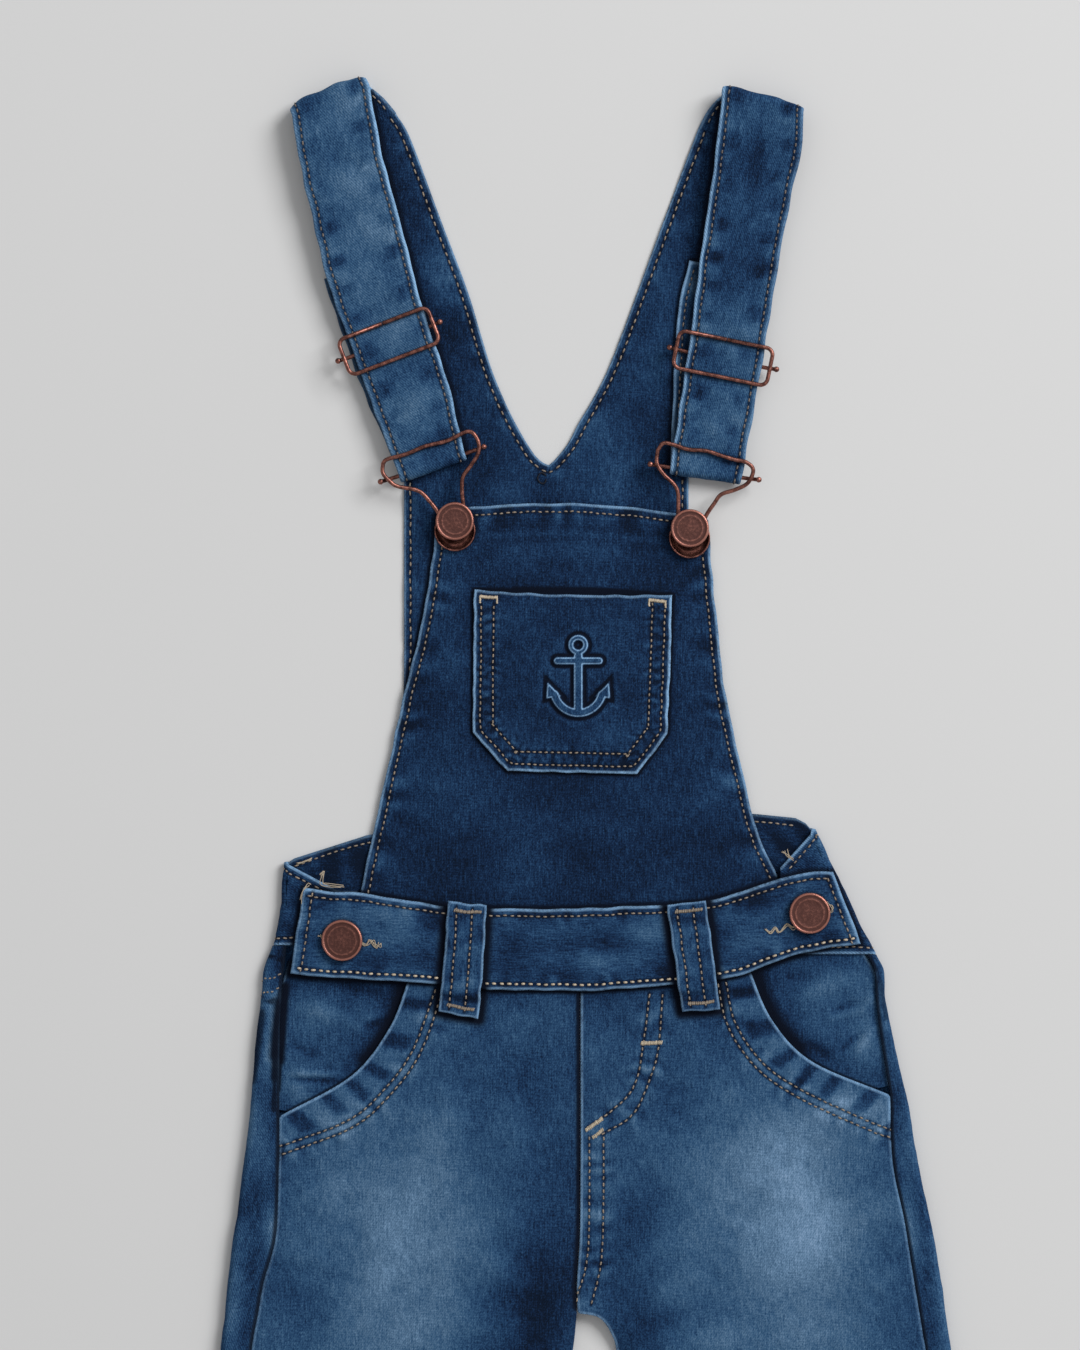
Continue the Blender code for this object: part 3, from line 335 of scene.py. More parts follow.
# Buckle wires round from the top bar's left end: x, y, height
NECK = 5.35
BUCKLES = {
    "left": (
        (-80.2, 351.3, 8.3), (-78.3, 353, FRAME_HEIGHT), (-70.3, 355.2, FRAME_HEIGHT),
        (-62.9, 358.3, FRAME_HEIGHT), (-54, 360.5, FRAME_HEIGHT), (-45.2, 364.4, FRAME_HEIGHT),
        (-41.4, 361.5, FRAME_HEIGHT), (-40.7, 356.1, 8.2), (-43.8, 350.6, 7.7), (-47.2, 345.8, 7),
        (-47.6, 340.1, 6.3), (-47, 334, 5.6), (-46, 327.4, NECK), (-50.6, 322.6, NECK),
        (-55.4, 327.4, NECK), (-58.1, 332, NECK), (-60.7, 335.4, 5.8), (-64, 339, 6.3),
        (-67.4, 340.6, 6.8), (-73.7, 341.7, 7.3), (-76.7, 343.3, 7.8), (-80.2, 347.2, 8.1),
    ),
    "right": (
        (33.2, 356.6, 8.3), (35.6, 359.6, FRAME_HEIGHT), (40.2, 358.8, FRAME_HEIGHT),
        (45.8, 357, FRAME_HEIGHT), (53.2, 356.4, FRAME_HEIGHT), (60.2, 354.2, FRAME_HEIGHT),
        (65.4, 352.7, FRAME_HEIGHT), (69.3, 351.9, FRAME_HEIGHT), (72.2, 349.7, 8.4),
        (72.4, 346.9, 8.1), (70.1, 342.9, 7.7), (65.1, 340.4, 7.2), (59.5, 338.5, 6.6),
        (56.6, 334.8, 6), (53.4, 330, 5.5), (51.1, 324.5, NECK), (46.5, 319.7, NECK),
        (41.9, 324.5, NECK), (41.8, 333.4, 5.6), (41.6, 339.4, 6.3), (39.8, 342.9, 6.9),
        (35.9, 346.6, 7.6), (32.9, 351.3, 8.1),
    ),
}

# Tack buttons and the stamped cups of the buckles
BIB_BUTTONS = {"left": (-50.6, 327.4), "right": (46.5, 324.5)}
WAIST_BUTTONS = {"left": (-97.1, 154.4), "right": (95.9, 165.6)}
BIB_BUTTON_RADIUS = 7.9
WAIST_BUTTON_RADIUS = 8.5
WAIST_BUTTON_TILT = {"left": (0.12, 0.0), "right": (0.0, 0.02)}
BUTTON_SHANK = 2.5
BUTTON_HEAD = 2.4
BIB_SHANK_LOW = BIB_REST + SEAM + 0.2
BIB_HEAD_LOW = 6.5
WAIST_SHANK_LOW = BAND_TOP + SEAM + 0.25
WAIST_HEAD_LOW = WAIST_SHANK_LOW + 0.8
CUP_RADIUS = 8.2
CUP_DROP = 3.8
CUP_LOW = 3.3

# Soft folds, millimetres: both ends x and y, half width, height (a trough is negative)
LEG_FOLDS = (
    (-112, 74, -60, 92, 7, 0.5), (-14, 8, -46, 24, 6, 0.6),
    (-12, -8, -60, -2, 7, 0.6), (22, 2, 58, 20, 6, 0.6),
    (26, -18, 74, -10, 7, 0.6), (-128, -120, -80, -132, 9, 0.6),
    (-36, -150, -84, -140, 9, 0.6), (140, -118, 92, -130, 9, 0.6),
    (48, -152, 96, -142, 9, 0.6), (-60, -236, -110, -250, 10, 0.5),
    (70, -240, 122, -252, 10, 0.5),
    (-6, 26, -38, 44, 3.6, 0.35), (-8, 2, -34, 12, 3, -0.3),
    (14, 12, 44, 34, 3.6, 0.35), (20, -8, 52, 4, 3, -0.3),
    (-122, 52, -96, 46, 4, 0.3), (-126, 30, -100, 20, 4.5, 0.3),
    (134, 44, 108, 36, 4, 0.3), (138, 20, 112, 8, 4.5, 0.3),
    (-52, 128, -34, 92, 5, 0.3), (52, 128, 44, 88, 5, 0.3),
    (-26, 118, -18, 70, 5.5, -0.25), (18, 66, 12, 24, 4, 0.3),
)
BIB_FOLDS = (
    (-74, 226, -50, 214, 4, 0.35), (-80, 206, -58, 198, 3.5, -0.3),
    (66, 222, 44, 206, 4, 0.35), (74, 204, 52, 190, 3.5, -0.3),
    (-60, 276, -46, 268, 3, 0.3), (56, 262, 42, 252, 3, 0.3),
    (-44, 314, 30, 316, 5, 0.3), (-30, 212, 30, 208, 7, -0.3),
    (-50, 190, 6, 184, 5, 0.25), (22, 184, 62, 190, 5, 0.25),
    (-56, 296, -46, 306, 3, 0.25), (50, 284, 42, 296, 3, 0.25),
)
BAND_FOLDS = (
    (-84, 168, -60, 150, 4, 0.3), (-78, 150, -60, 156, 3.5, -0.3),
    (-26, 152, 24, 154, 4, -0.25), (-10, 162, 30, 160, 3, 0.2),
    (62, 150, 84, 170, 4, 0.3), (66, 164, 82, 158, 3, -0.25),
)
HIP_FOLDS_LEFT = (
    (-122, 99, -92, 98, 1.5, 0.8), (-122, 96.4, -90, 95.6, 1.1, -1),
    (-116, 128, -84, 116, 3, 0.4), (-104, 137, -76, 131, 2.4, -0.5),
    (-121, 112, -106, 105, 1.6, -0.5), (-119, 88, -108, 90, 2, 0.5),
    (-90, 118, -76, 121, 1.6, -0.7), (-92, 121, -78, 124, 1.6, 0.4),
)
HIP_FOLDS_RIGHT = (
    (125, 121, 114, 104, 1.8, 0.6), (119, 117, 106, 106, 1.5, -0.7),
    (114, 140, 88, 128, 3.4, 0.4), (124, 134, 116, 122, 1.6, 0.5),
    (106, 104, 94, 113, 1.8, -0.7), (98, 138, 84, 140, 2.4, -0.4),
    (120, 126, 100, 120, 1.6, 0.4), (118, 129, 104, 124, 1.2, -0.5),
)
BACK_BIB_FOLDS = (
    (-66, 352, -50, 372, 4, 0.3), (-40, 340, -18, 336, 4, 0.25),
    (8, 344, 34, 356, 4, 0.3), (36, 400, 46, 376, 4, -0.3),
    (-56, 420, -50, 396, 4, -0.3), (-68, 446, -60, 424, 4, 0.3),
)

# Shares of a belt loop's width where its sewn rows and its tacks' ends lie
LOOP_ROWS = (0.24, 0.64)
LOOP_TACKS = (0.20, 0.86)

# Even faded tone of each piece, from dark indigo at 0 to nearly white at 1
FRONT_LEG_TONE = 0.42
BACK_LEG_TONE = {"left": 0.42, "right": 0.46}
HIP_TONE = 0.43
BIB_TONE = 0.19
POCKET_TONE = 0.21
BAND_TONE = 0.21
LOOP_TONE = 0.38
BACK_BIB_TONE = 0.27
BACK_BAND_TONE = 0.33
STRAP_TONE = {"left": (0.58, 0.0), "right": (0.39, 0.13)}
STRAP_TAIL_TONE = 0.29

# Faded places: x, y, reach in x, reach in y, gain
# On the hip cloth these places also paint light on its folds and shade at the pocket's mouth
HIP_FADES_AND_SHADE = (
    (-118, 92, 9, 7, 0.18), (-112, 124, 10, 10, 0.08), (119, 120, 6, 22, 0.16),
    (104, 132, 14, 8, 0.07), (100, 108, 10, 8, -0.10),
)
BIB_FADES = (
    (-2, 318, 60, 10, 0.06), (0, 200, 70, 16, 0.03), (-64, 214, 12, 22, 0.05),
    (60, 218, 12, 30, 0.07), (46, 268, 8, 30, 0.07), (-54, 268, 8, 30, 0.06),
    (-6, 190, 60, 8, -0.08),
)
BAND_FADES = (
    (-78, 157, 22, 12, 0.15), (-84, 166, 16, 4, 0.08), (70, 158, 16, 12, 0.03),
    (96, 170, 10, 8, 0.05), (-30, 145, 10, 4, -0.06), (0, 160, 26, 5, 0.05),
    (30, 146, 16, 6, -0.05), (60, 146, 6, 6, -0.08), (-60, 148, 8, 6, -0.08),
)
BACK_BIB_FADES = ((68.0, 456.0, 24.0, 40.0, 0.09), (38.0, 396.0, 20.0, 40.0, 0.05))
LEG_FADES = (
    (-70, 44, 36, 36, 0.40), (-74, -10, 34, 44, 0.26),
    (84, 58, 38, 34, 0.38), (90, 10, 34, 44, 0.34),
    (-18, 6, 15, 36, -0.38), (26, 4, 15, 40, -0.10),
    (-8, -24, 26, 14, -0.12), (-34, -6, 14, 20, -0.08),
    (-30, 84, 20, 26, -0.02), (-74, -130, 30, 70, 0.19),
    (44, 82, 14, 20, -0.08), (-104, 78, 20, 10, 0.10), (118, 84, 16, 9, 0.12),
    (98, -130, 30, 70, 0.24), (-130, 20, 10, 60, -0.05),
    (140, 20, 9, 60, -0.01), (20, 110, 20, 30, 0.02), (-60, 100, 24, 20, 0.03),
)

# Cloth colours from dark indigo to nearly white, linear, by the faded tone with its painted light and
# shade
DENIM_STOPS = (
    (0.00, (0.0035, 0.0085, 0.0220)),
    (0.16, (0.0065, 0.0205, 0.0590)),
    (0.32, (0.0150, 0.0490, 0.1200)),
    (0.48, (0.0350, 0.0930, 0.1850)),
    (0.64, (0.0770, 0.1510, 0.2540)),
    (0.80, (0.1340, 0.2370, 0.3750)),
    (1.00, (0.2300, 0.3500, 0.5200)),
)
RAMP_SCALE = 0.8
RIM_BLUE = (0.225, 0.395, 0.610)
# Near-black of the needle lines, also of the painted shade in the anchor's groove and of the painted
# shadows beside covering pieces
SEAM_AND_SHADE_DARK = (0.0030, 0.0050, 0.0120)
TAN = (0.300, 0.245, 0.190)
CREAM = (0.560, 0.470, 0.350)
DULL = (0.190, 0.160, 0.140)
NAVY = (0.006, 0.009, 0.020)
COPPER_BRIGHT = (0.400, 0.165, 0.125)
COPPER_DARK = (0.095, 0.038, 0.032)
FLOOR_GREY = 0.64

# Weave, metres
TWILL = 0.00085
TWILL_DEGREES = 58.0
SLUB = (0.00055, 0.0065)
GRAIN = 0.00085
MOTTLE = (0.0018, 0.0046)
MOTTLE_DEGREES = -32.0
CLOUD = 0.017

# Camera: what the frame covers, millimetres, and its height, metres
FRAME_MIDDLE = (-15.4, 263.9)
FRAME_HIGH = 560.25
CAMERA_UP = 1.6
SENSOR = 36.0

# Floor, millimetres, and light: place and size in metres, power in watts
SQUARE = ((-1, -1), (1, -1), (1, 1), (-1, 1))
FLOOR_HALF = 4000.0
FLOOR_LOW = -0.15
KEY_PLACE = (2.7, 2.0, 2.7)
KEY_SIZE = 2.2
KEY_POWER = 172.0
WORLD_STRENGTH = 0.46


# Numbers and curves

def through(table, per_gap):
    """Rows on a smooth curve through the table's rows, per_gap new rows for each gap."""
    rows = np.array(table, float)
    slope = np.gradient(rows, axis=0)
    at = np.linspace(0, len(rows) - 1, (len(rows) - 1) * per_gap + 1)
    low = np.minimum(at.astype(int), len(rows) - 2)
    t = (at - low)[:, None]
    a, b = rows[low], rows[low + 1]
    ease = t * t * (3 - 2 * t)
    return (
        a * (1 - ease) + b * ease
        + slope[low] * t * (1 - t) ** 2 - slope[low + 1] * t * t * (1 - t)
    )


def smoothstep(value):
    """0 below 0, 1 above 1, and 3 v^2 - 2 v^3 between them."""
    value = np.clip(value, 0, 1)
    return value * value * (3 - 2 * value)


def bell(value):
    """Bell curve: 1 at 0, e to the minus v squared beside it."""
    return np.exp(-value * value)


def unit(vectors):
    """The vectors at length one."""
    return vectors / np.linalg.norm(vectors, axis=-1, keepdims=True)


def waves(x, y, size, seed, count=14):
    """Uneven field of about unit height: the sum of plane waves in seeded directions."""
    draw = np.random.default_rng(seed)
    turn = draw.uniform(0, 2 * math.pi, count)
    rate = 2 * math.pi / (size * draw.uniform(0.7, 1.5, count))
    phase = draw.uniform(0, 2 * math.pi, count)
    field = np.zeros_like(x, dtype=float)
    for k in range(count):
        field += np.sin((x * math.cos(turn[k]) + y * math.sin(turn[k])) * rate[k] + phase[k])
    return field * math.sqrt(2 / count)


def folds(x, y, table):
    """Height of the soft ridges: a bell across each segment, fading at its ends."""
    height = np.zeros_like(x)
    for x0, y0, x1, y1, half_width, rise in table:
        length = math.hypot(x1 - x0, y1 - y0)
        along = ((x - x0) * (x1 - x0) + (y - y0) * (y1 - y0)) / length
        beside = ((x - x0) * (y1 - y0) - (y - y0) * (x1 - x0)) / length
        ends = smoothstep(along / length * 3) * smoothstep((1 - along / length) * 3)
        height += rise * ends * bell(beside / half_width)
    return height


def fades(x, y, table):
    """Sum of soft spots, each a bell in x and in y."""
    gain = np.zeros_like(x)
    for x0, y0, reach_x, reach_y, amount in table:
        gain += amount * np.exp(-(((x - x0) / reach_x) ** 2) - ((y - y0) / reach_y) ** 2)
    return gain


def lengths(path):
    """Length along the path at each of its points."""
    return np.concatenate([[0.0], np.cumsum(np.linalg.norm(np.diff(path, axis=0), axis=1))])


def resampled(path, step):
    """The path's points at even steps along it."""
    path = np.array(path, float)
    at = lengths(path)
    count = max(2, int(round(at[-1] / step)) + 1)
    even = np.linspace(0, at[-1], count)
    return np.column_stack([np.interp(even, at, path[:, k]) for k in range(path.shape[1])])


def beside(path, distance):
    """The path moved to its left by a distance, with mitred corners."""
    path = np.array(path, float)
    moved = np.linalg.norm(np.diff(path, axis=0), axis=1) > 1e-3
    path = path[np.concatenate([[True], moved])]
    run = unit(np.diff(path, axis=0))
    out = np.column_stack([-run[:, 1], run[:, 0]])
    corner = unit(np.concatenate([out[:1], out[:-1] + out[1:], out[-1:]]))
    sharp = np.clip(np.sum(corner * np.concatenate([out[:1], out]), axis=1), 0.5, 1)
    return path + corner * (distance / sharp)[:, None]


def simplified(path, tolerance=0.03):
    """The path without the points that lie within the tolerance of the lines between others."""
    keep = np.zeros(len(path), bool)
    keep[[0, -1]] = True
    spans = [(0, len(path) - 1)]
    while spans:
        first, last = spans.pop()
        if last - first < 2:
            continue
        run = path[last] - path[first]
        away = path[first + 1:last] - path[first]
        t = np.clip(away @ run / max(run @ run, 1e-9), 0, 1)
        gap = np.hypot(*(away - t[:, None] * run).T)
        if gap.max() > tolerance:
            middle = first + 1 + int(gap.argmax())
            keep[middle] = True
            spans += [(first, middle), (middle, last)]
    return path[keep]


def path_distance(points, path):
    """Distance from each point to a polyline, and the length along the polyline there."""
    flat = points.reshape(-1, 2)
    path = simplified(np.array(path, float))
    starts = lengths(path)
    best = np.full(len(flat), 1e9)
    along = np.zeros(len(flat))
    for a, b, start in zip(path[:-1], path[1:], starts):
        run = b - a
        length = math.hypot(*run) or 1e-9
        t = np.clip((flat - a) @ run / length**2, 0, 1)
        gap = np.hypot(*(flat - a - t[:, None] * run).T)
        closer = gap < best
        best = np.where(closer, gap, best)
        along = np.where(closer, start + t * length, along)
    return best.reshape(points.shape[:-1]), along.reshape(points.shape[:-1])


def distance(points, path):
    """Distance from each point to a polyline."""
    return path_distance(points, path)[0]


# Meshes

def metres(points):
    """Places in the frame of points drawn in millimetres."""
    return (np.asarray(points, float) - np.array(OUTLINE_MIDDLE)) * MM


def new_mesh(name, points, groups, finish, uv=None, attributes=None):
    """Object from points in mm and arrays of faces, each array with its own corner count."""
    points = metres(points)
    loops = np.concatenate([np.asarray(g, np.int64).ravel() for g in groups])
    sizes = np.concatenate([np.full(len(g), np.shape(g)[1]) for g in groups])
    mesh = bpy.data.meshes.new(name)
    mesh.vertices.add(len(points))
    mesh.vertices.foreach_set("co", points.astype(np.float32).ravel())
    mesh.loops.add(len(loops))
    mesh.loops.foreach_set("vertex_index", loops.astype(np.int32))
    mesh.polygons.add(len(sizes))
    mesh.polygons.foreach_set("loop_start", (np.cumsum(sizes) - sizes).astype(np.int32))
    mesh.update(calc_edges=True)
    if uv is not None:
        layer = mesh.uv_layers.new(name="cloth")
        layer.data.foreach_set("uv", np.asarray(uv, np.float32)[loops].ravel())
    for key, values in (attributes or {}).items():
        mesh.attributes.new(key, "FLOAT", "POINT").data.foreach_set(
            "value", np.asarray(values, np.float32).ravel()
        )
    mesh.shade_smooth()
    mesh.materials.append(finish)
    piece = bpy.data.objects.new(name, mesh)
    bpy.context.scene.collection.objects.link(piece)
    return piece


def numbered(rows, columns, start=0):
    """Grid of the numbers of its points."""
    return start + np.arange(rows * columns).reshape(rows, columns)


def wrapped(number):
    """A grid of numbers with its first column again at the end, which closes it round."""
    return np.concatenate([number, number[:, :1]], axis=1)


def quads(number):
    """Faces with four corners between the rows and columns of a grid of numbers."""
    corners = [number[:-1, :-1], number[:-1, 1:], number[1:, 1:], number[1:, :-1]]
    return np.stack(corners, -1).reshape(-1, 4)


def tube(path, radius, sides, closed=False, level=(0.0, 0.0, 1.0), start=0):
    """Points and faces of a round tube: rings of side * cos + rise * sin across its path."""
    if closed:
        run = unit(np.roll(path, -1, axis=0) - np.roll(path, 1, axis=0))
    else:
        run = unit(np.gradient(path, axis=0))
    side = unit(np.cross(run, level))
    rise = np.cross(side, run)
    turn = np.linspace(0, 2 * math.pi, sides, endpoint=False)
    ring = side[:, None] * np.cos(turn)[:, None] + rise[:, None] * np.sin(turn)[:, None]
    points = path[:, None] + ring * np.broadcast_to(radius, len(path))[:, None, None]
    number = wrapped(numbered(len(path), sides, start))
    if closed:
        groups = [quads(np.concatenate([number, number[:1]]))]
    else:
        groups = [quads(number), number[:1, -2::-1], number[-1:, :-1]]
    return points.reshape(-1, 3), groups


def turned(middle, angles, profile):
    """Grid of the points of a profile, radius and height, turned to each angle round a middle."""
    radius, height = np.array(profile).T
    x = middle[0] + radius[None, :] * np.cos(angles)[:, None]
    y = middle[1] + radius[None, :] * np.sin(angles)[:, None]
    return np.dstack([x, y, height[None, :] + 0 * x])


def normals(grid):
    """Unit normals of a grid of points, from its two directions."""
    normal = np.cross(np.gradient(grid, axis=1), np.gradient(grid, axis=0))
    size = np.linalg.norm(normal, axis=-1, keepdims=True)
    return normal / np.maximum(size, 1e-9)


def cell_lines(width, count, offsets=EDGE_LINES):
    """Places across each width: close lines at both edges and even cells between them."""
    width = np.asarray(width, float)[:, None]
    near = np.array(offsets)[None, :]
    between = np.linspace(0, 1, count + 1)[None, 1:-1]
    inset = offsets[-1]
    middle = inset + (width - 2 * inset) * between
    return np.concatenate([near + 0 * width, middle, width - near[:, ::-1]], axis=1)


def even_rows(rows, step):
    """Rows of a table at even steps of the length of its middle line, closer at both ends."""
    rows = np.array(rows, float)
    middle = (rows[:, 0:2] + rows[:, 2:4]) / 2
    at = lengths(middle)
    count = max(2, int(round(at[-1] / step)))
    places = cell_lines([at[-1]], count)[0]
    return np.column_stack([np.interp(places, at, rows[:, k]) for k in range(rows.shape[1])])


def laid_plan(rows, cell):
    """Plan grid between the left and right points of each row."""
    left, right = rows[:, 0:2], rows[:, 2:4]
    width = np.linalg.norm(right - left, axis=1)
    count = max(2, int(round(width.max() / cell)))
    share = (cell_lines(width, count) / width[:, None])[..., None]
    return left[:, None] * (1 - share) + right[:, None] * share


def outline_of(plan, sides="start right end left"):
    """Border of a plan grid, as one path for each run of sides that follow each other."""
    border = {
        "start": plan[0], "right": plan[:, -1], "end": plan[-1, ::-1], "left": plan[::-1, 0],
    }
    return [border[side] for side in sides.split()]


class Panel:
    """A wall of cloth: its outer grid, flat coordinates, real edges and sewn rows, all in mm.

    Outer points are base + normal * (relief - roll) and inner ones lie the cloth's thickness
    below them, where roll rounds the wall off within ROLL of each edge.
    """

    def __init__(self, base, flat, thickness, edges, wear=0.5, rim_width=1.1, up_at=(5, 5)):
        size = base.shape[:2]
        self.base = base
        self.flat = flat
        self.thickness = thickness
        self.normal = normals(base)
        if self.normal[up_at][2] < 0:
            self.normal = -self.normal
        self.relief = np.zeros(size)
        self.rim = np.full(size, FAR)
        self.worn = np.zeros(size)
        wear = wear if isinstance(wear, tuple) else (wear,) * len(edges)
        for edge, amount in zip(edges, wear):
            gap = distance(flat, edge)
            self.worn = np.where(gap < self.rim, amount, self.worn)
            self.rim = np.minimum(self.rim, gap)
        self.rim_width = rim_width
        self.sewn = np.full(size, FAR)
        self.fade = np.zeros(size)
        # Painted shadow from covering pieces: share of its reach to the nearest outline, and its
        # darkness
        self.near = np.full(size, FAR_SHARE)
        self.deep = np.zeros(size)
        self.badge = np.full(size, FAR)
        # How much darker the inner side is drawn: painted shade inside the cloth
        self.inside = 0.05
        self.inside_line = 1.0
        self.seed = 1

    @property
    def x(self):
        return self.flat[..., 0]

    @property
    def y(self):
        return self.flat[..., 1]

    def wobble(self, most, size, seed):
        """Moves the cloth a little in its plane, so that its edges aren't ruled lines."""
        near = bell(self.rim / 7)
        for k in (0, 1):
            self.base[..., k] += most * near * waves(self.x, self.y, size, seed + 20 + k)

    def soften(self, size, height, seed):
        """Unevenness of laid cloth: long low waves and shorter ones on them."""
        self.relief += height * waves(self.x, self.y, size, seed)
        self.relief += 0.35 * height * waves(self.x, self.y, size / 3.5, seed + 50)

    def row(self, path, pucker=PUCKER, reach=PUCKER_REACH, wave=7.5):
        """Pulls the cloth in along a sewn row and puckers it beside the row."""
        self.seed += 1
        draw = np.random.default_rng(self.seed * 7 + 3)
        gap, along = path_distance(self.flat, path)
        a, b, c, d = draw.uniform(0, RIPPLE, 4)
        place = along + 0.45 * gap * np.sin(along / 31.0 + d)
        swing = 1.6 * np.sin(place * RIPPLE / (wave * 3.7) + b)
        ripple = np.sin(place * RIPPLE / wave + a + swing)
        ripple *= 0.55 + 0.45 * np.sin(place * RIPPLE / (wave * 2.3) + c)
        near = bell((gap - 0.25 * reach) / reach) * smoothstep((2.4 * reach - gap) / reach)
        self.relief += pucker * ripple * near
        self.relief -= GROOVE * bell(gap / GROOVE_HALF)
        # Painted light on the puckers' ridges and painted shade in their troughs; the cloth is also
        # drawn darker along the row and paler just beside it
        self.fade += PUCKER_SHADE * pucker / PUCKER * ripple * near
        self.fade += 0.07 * bell((gap - 1.6) / 0.9) - 0.10 * bell(gap / 1.0)
        self.sewn = np.minimum(self.sewn, gap)

    def shade(self, path, amount=0.8, reach=1.6, soft=0.0):
        """Darkens the upper side under and beside the outline of a piece that lies on it."""
        gap = distance(self.base[..., :2], path)
        up = smoothstep(self.normal[..., 2] * 3)
        share = gap / reach + FAR_SHARE * (1 - up)
        self.deep = np.where(share < self.near, amount, self.deep)
        self.near = np.minimum(self.near, share)
        if soft:
            self.fade -= soft * bell(gap / (4 * reach)) * up

    def finish_surface(self, follow=1.0, keep=None):
        """Works out the outer and inner points."""
        if keep is not None:
            self.relief = self.relief * keep
        turn = np.sqrt(np.clip(1 - (1 - np.clip(self.rim / ROLL, 0, 1)) ** 2, 0, 1))
        roll = 0.42 * self.thickness * (1 - turn)
        self.outer = self.base + self.normal * (self.relief - roll)[..., None]
        sunk = self.thickness - roll - follow * self.relief
        self.inner = self.base - self.normal * sunk[..., None]

    def area(self):
        """Flat area in square metres, from the outer grid's cells."""
        a = self.base[:-1, 1:] - self.base[1:, :-1]
        b = self.base[1:, 1:] - self.base[:-1, :-1]
        return float(np.linalg.norm(np.cross(a, b), axis=-1).sum() / 2) * MM * MM

    def mesh_parts(self, seam_rows=0):
        """Points and faces; the first seam_rows of the right side are left open."""
        number = numbered(*self.rim.shape)
        under = self.rim.size
        groups = [quads(number), quads(number + under)[:, ::-1]]
        borders = (number[0], number[seam_rows:, -1], number[-1, ::-1], number[::-1, 0])
        for line in borders:
            a, b = line[:-1], line[1:]
            groups.append(np.stack([b, a, a + under, b + under], -1))
        corner = self.base[0, 0]
        cell = np.cross(self.base[0, 1] - corner, self.base[1, 0] - corner)
        if np.dot(cell, self.normal[0, 0]) < 0:
            groups = [g[:, ::-1] for g in groups]
        points = np.concatenate([self.outer.reshape(-1, 3), self.inner.reshape(-1, 3)])
        return points, groups

    def attributes(self):
        """What the cloth's finish reads at each point, for the outer side and then the inner."""
        outside = {
            "fade": self.fade, "rim": self.rim / self.rim_width, "worn": self.worn,
            "sewn": self.sewn, "near": self.near, "deep": self.deep, "lift": self.relief,
            "badge": self.badge, "inside": np.zeros_like(self.rim),
        }
        inner = np.full_like(self.rim, self.inside)
        inside = dict(outside, sewn=self.sewn + self.inside_line, lift=-self.relief, inside=inner)
        return {key: np.concatenate([outside[key].ravel(), inside[key].ravel()]) for key in outside}

    def place(self, path, inside=False):
        """Points and normals on a finished surface at places in flat coordinates."""
        flat = self.flat.reshape(-1, 2)
        outer, normal = self.outer.reshape(-1, 3), self.normal.reshape(-1, 3)
        if inside:
            outer, normal = self.inner.reshape(-1, 3), -normal
        points, ups = [], []
        for part in np.array_split(np.asarray(path, float), max(1, len(path) // 40)):
            gap = ((part[:, None] - flat[None]) ** 2).sum(-1)
            near = np.argpartition(gap, 4, axis=1)[:, :4]
            weight = 1 / (np.take_along_axis(gap, near, 1) + 0.01)
            weight = (weight / weight.sum(1, keepdims=True))[..., None]
            points.append((outer[near] * weight).sum(1))
            ups.append((normal[near] * weight).sum(1))
        return np.concatenate(points), unit(np.concatenate(ups))


# Sewing: rows of stitches and tacks are gathered here and made into meshes at the end
THREADS = {}


def keep_stitches(group, points, run, up, size, thick):
    """Keeps stitches: middles, directions, normals, lengths and half thickness."""
    THREADS.setdefault(group, []).append((points, unit(run), up, size + np.zeros(len(points)), thick))


def sew(panel, path, group, pitch=2.9, thick=THREAD, inside=False):
    """A row of stitches on the panel along a path in its flat coordinates."""
    ends = resampled(resampled(path, 0.6), pitch)
    points, _ = panel.place(ends, inside)
    on, up = panel.place((ends[:-1] + ends[1:]) / 2, inside)
    run = points[1:] - points[:-1]
    size = np.linalg.norm(run, axis=1) * STITCH_SHARE
    keep_stitches(group, on, run, up, size, thick)


def sew_level(path, height, group, pitch=2.9, thick=THREAD):
    """A row of stitches at one height, on the upper side of cloth that lies on the floor."""
    ends = resampled(path, pitch)
    run = np.column_stack([np.diff(ends, axis=0), np.zeros(len(ends) - 1)])
    middle = (ends[:-1] + ends[1:]) / 2
    points = np.column_stack([middle, np.full(len(middle), height)])
    size = np.linalg.norm(run, axis=1) * STITCH_SHARE
    keep_stitches(group, points, run, np.tile([0.0, 0.0, 1.0], (len(run), 1)), size, thick)


def tack(panel, start, end, group, width=2.2, pitch=0.5, thick=0.27):
    """A bar tack: close stitches across a short line."""
    points, up = panel.place(resampled([start, end], pitch))
    run = points[-1] - points[0]
    run /= np.linalg.norm(run)
    keep_stitches(group, points + up * 0.12, np.cross(up, run) + 0.25 * run, up, width, thick)


STRANDS = {}


def strand(points, seed, copies, loose, group="thread_ends"):
    """Loose ends of thread: a wandering line of points x, y, z and jittered copies of it."""
    draw = np.random.default_rng(seed)
    points = np.array(points, float)
    for _ in range(copies):
        shifted = points + draw.normal(0, loose, points.shape) * (1.0, 1.0, 0.3)
        shifted[:, 2] = np.maximum(shifted[:, 2], points[:, 2])
        STRANDS.setdefault(group, []).append(through(shifted, 5))


def strand_mesh(name, finish, radius=0.17, sides=5):
    """All the strands of a group as one piece: a thin tube along each."""
    points, groups, start = [], [], 0
    for path in STRANDS[name]:
        more, faces = tube(path, radius, sides, level=(0.1, 0.2, 1.0), start=start)
        points.append(more)
        groups += faces
        start += len(more)
    piece = new_mesh(name, np.concatenate(points), groups, finish)
    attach(piece, "root")


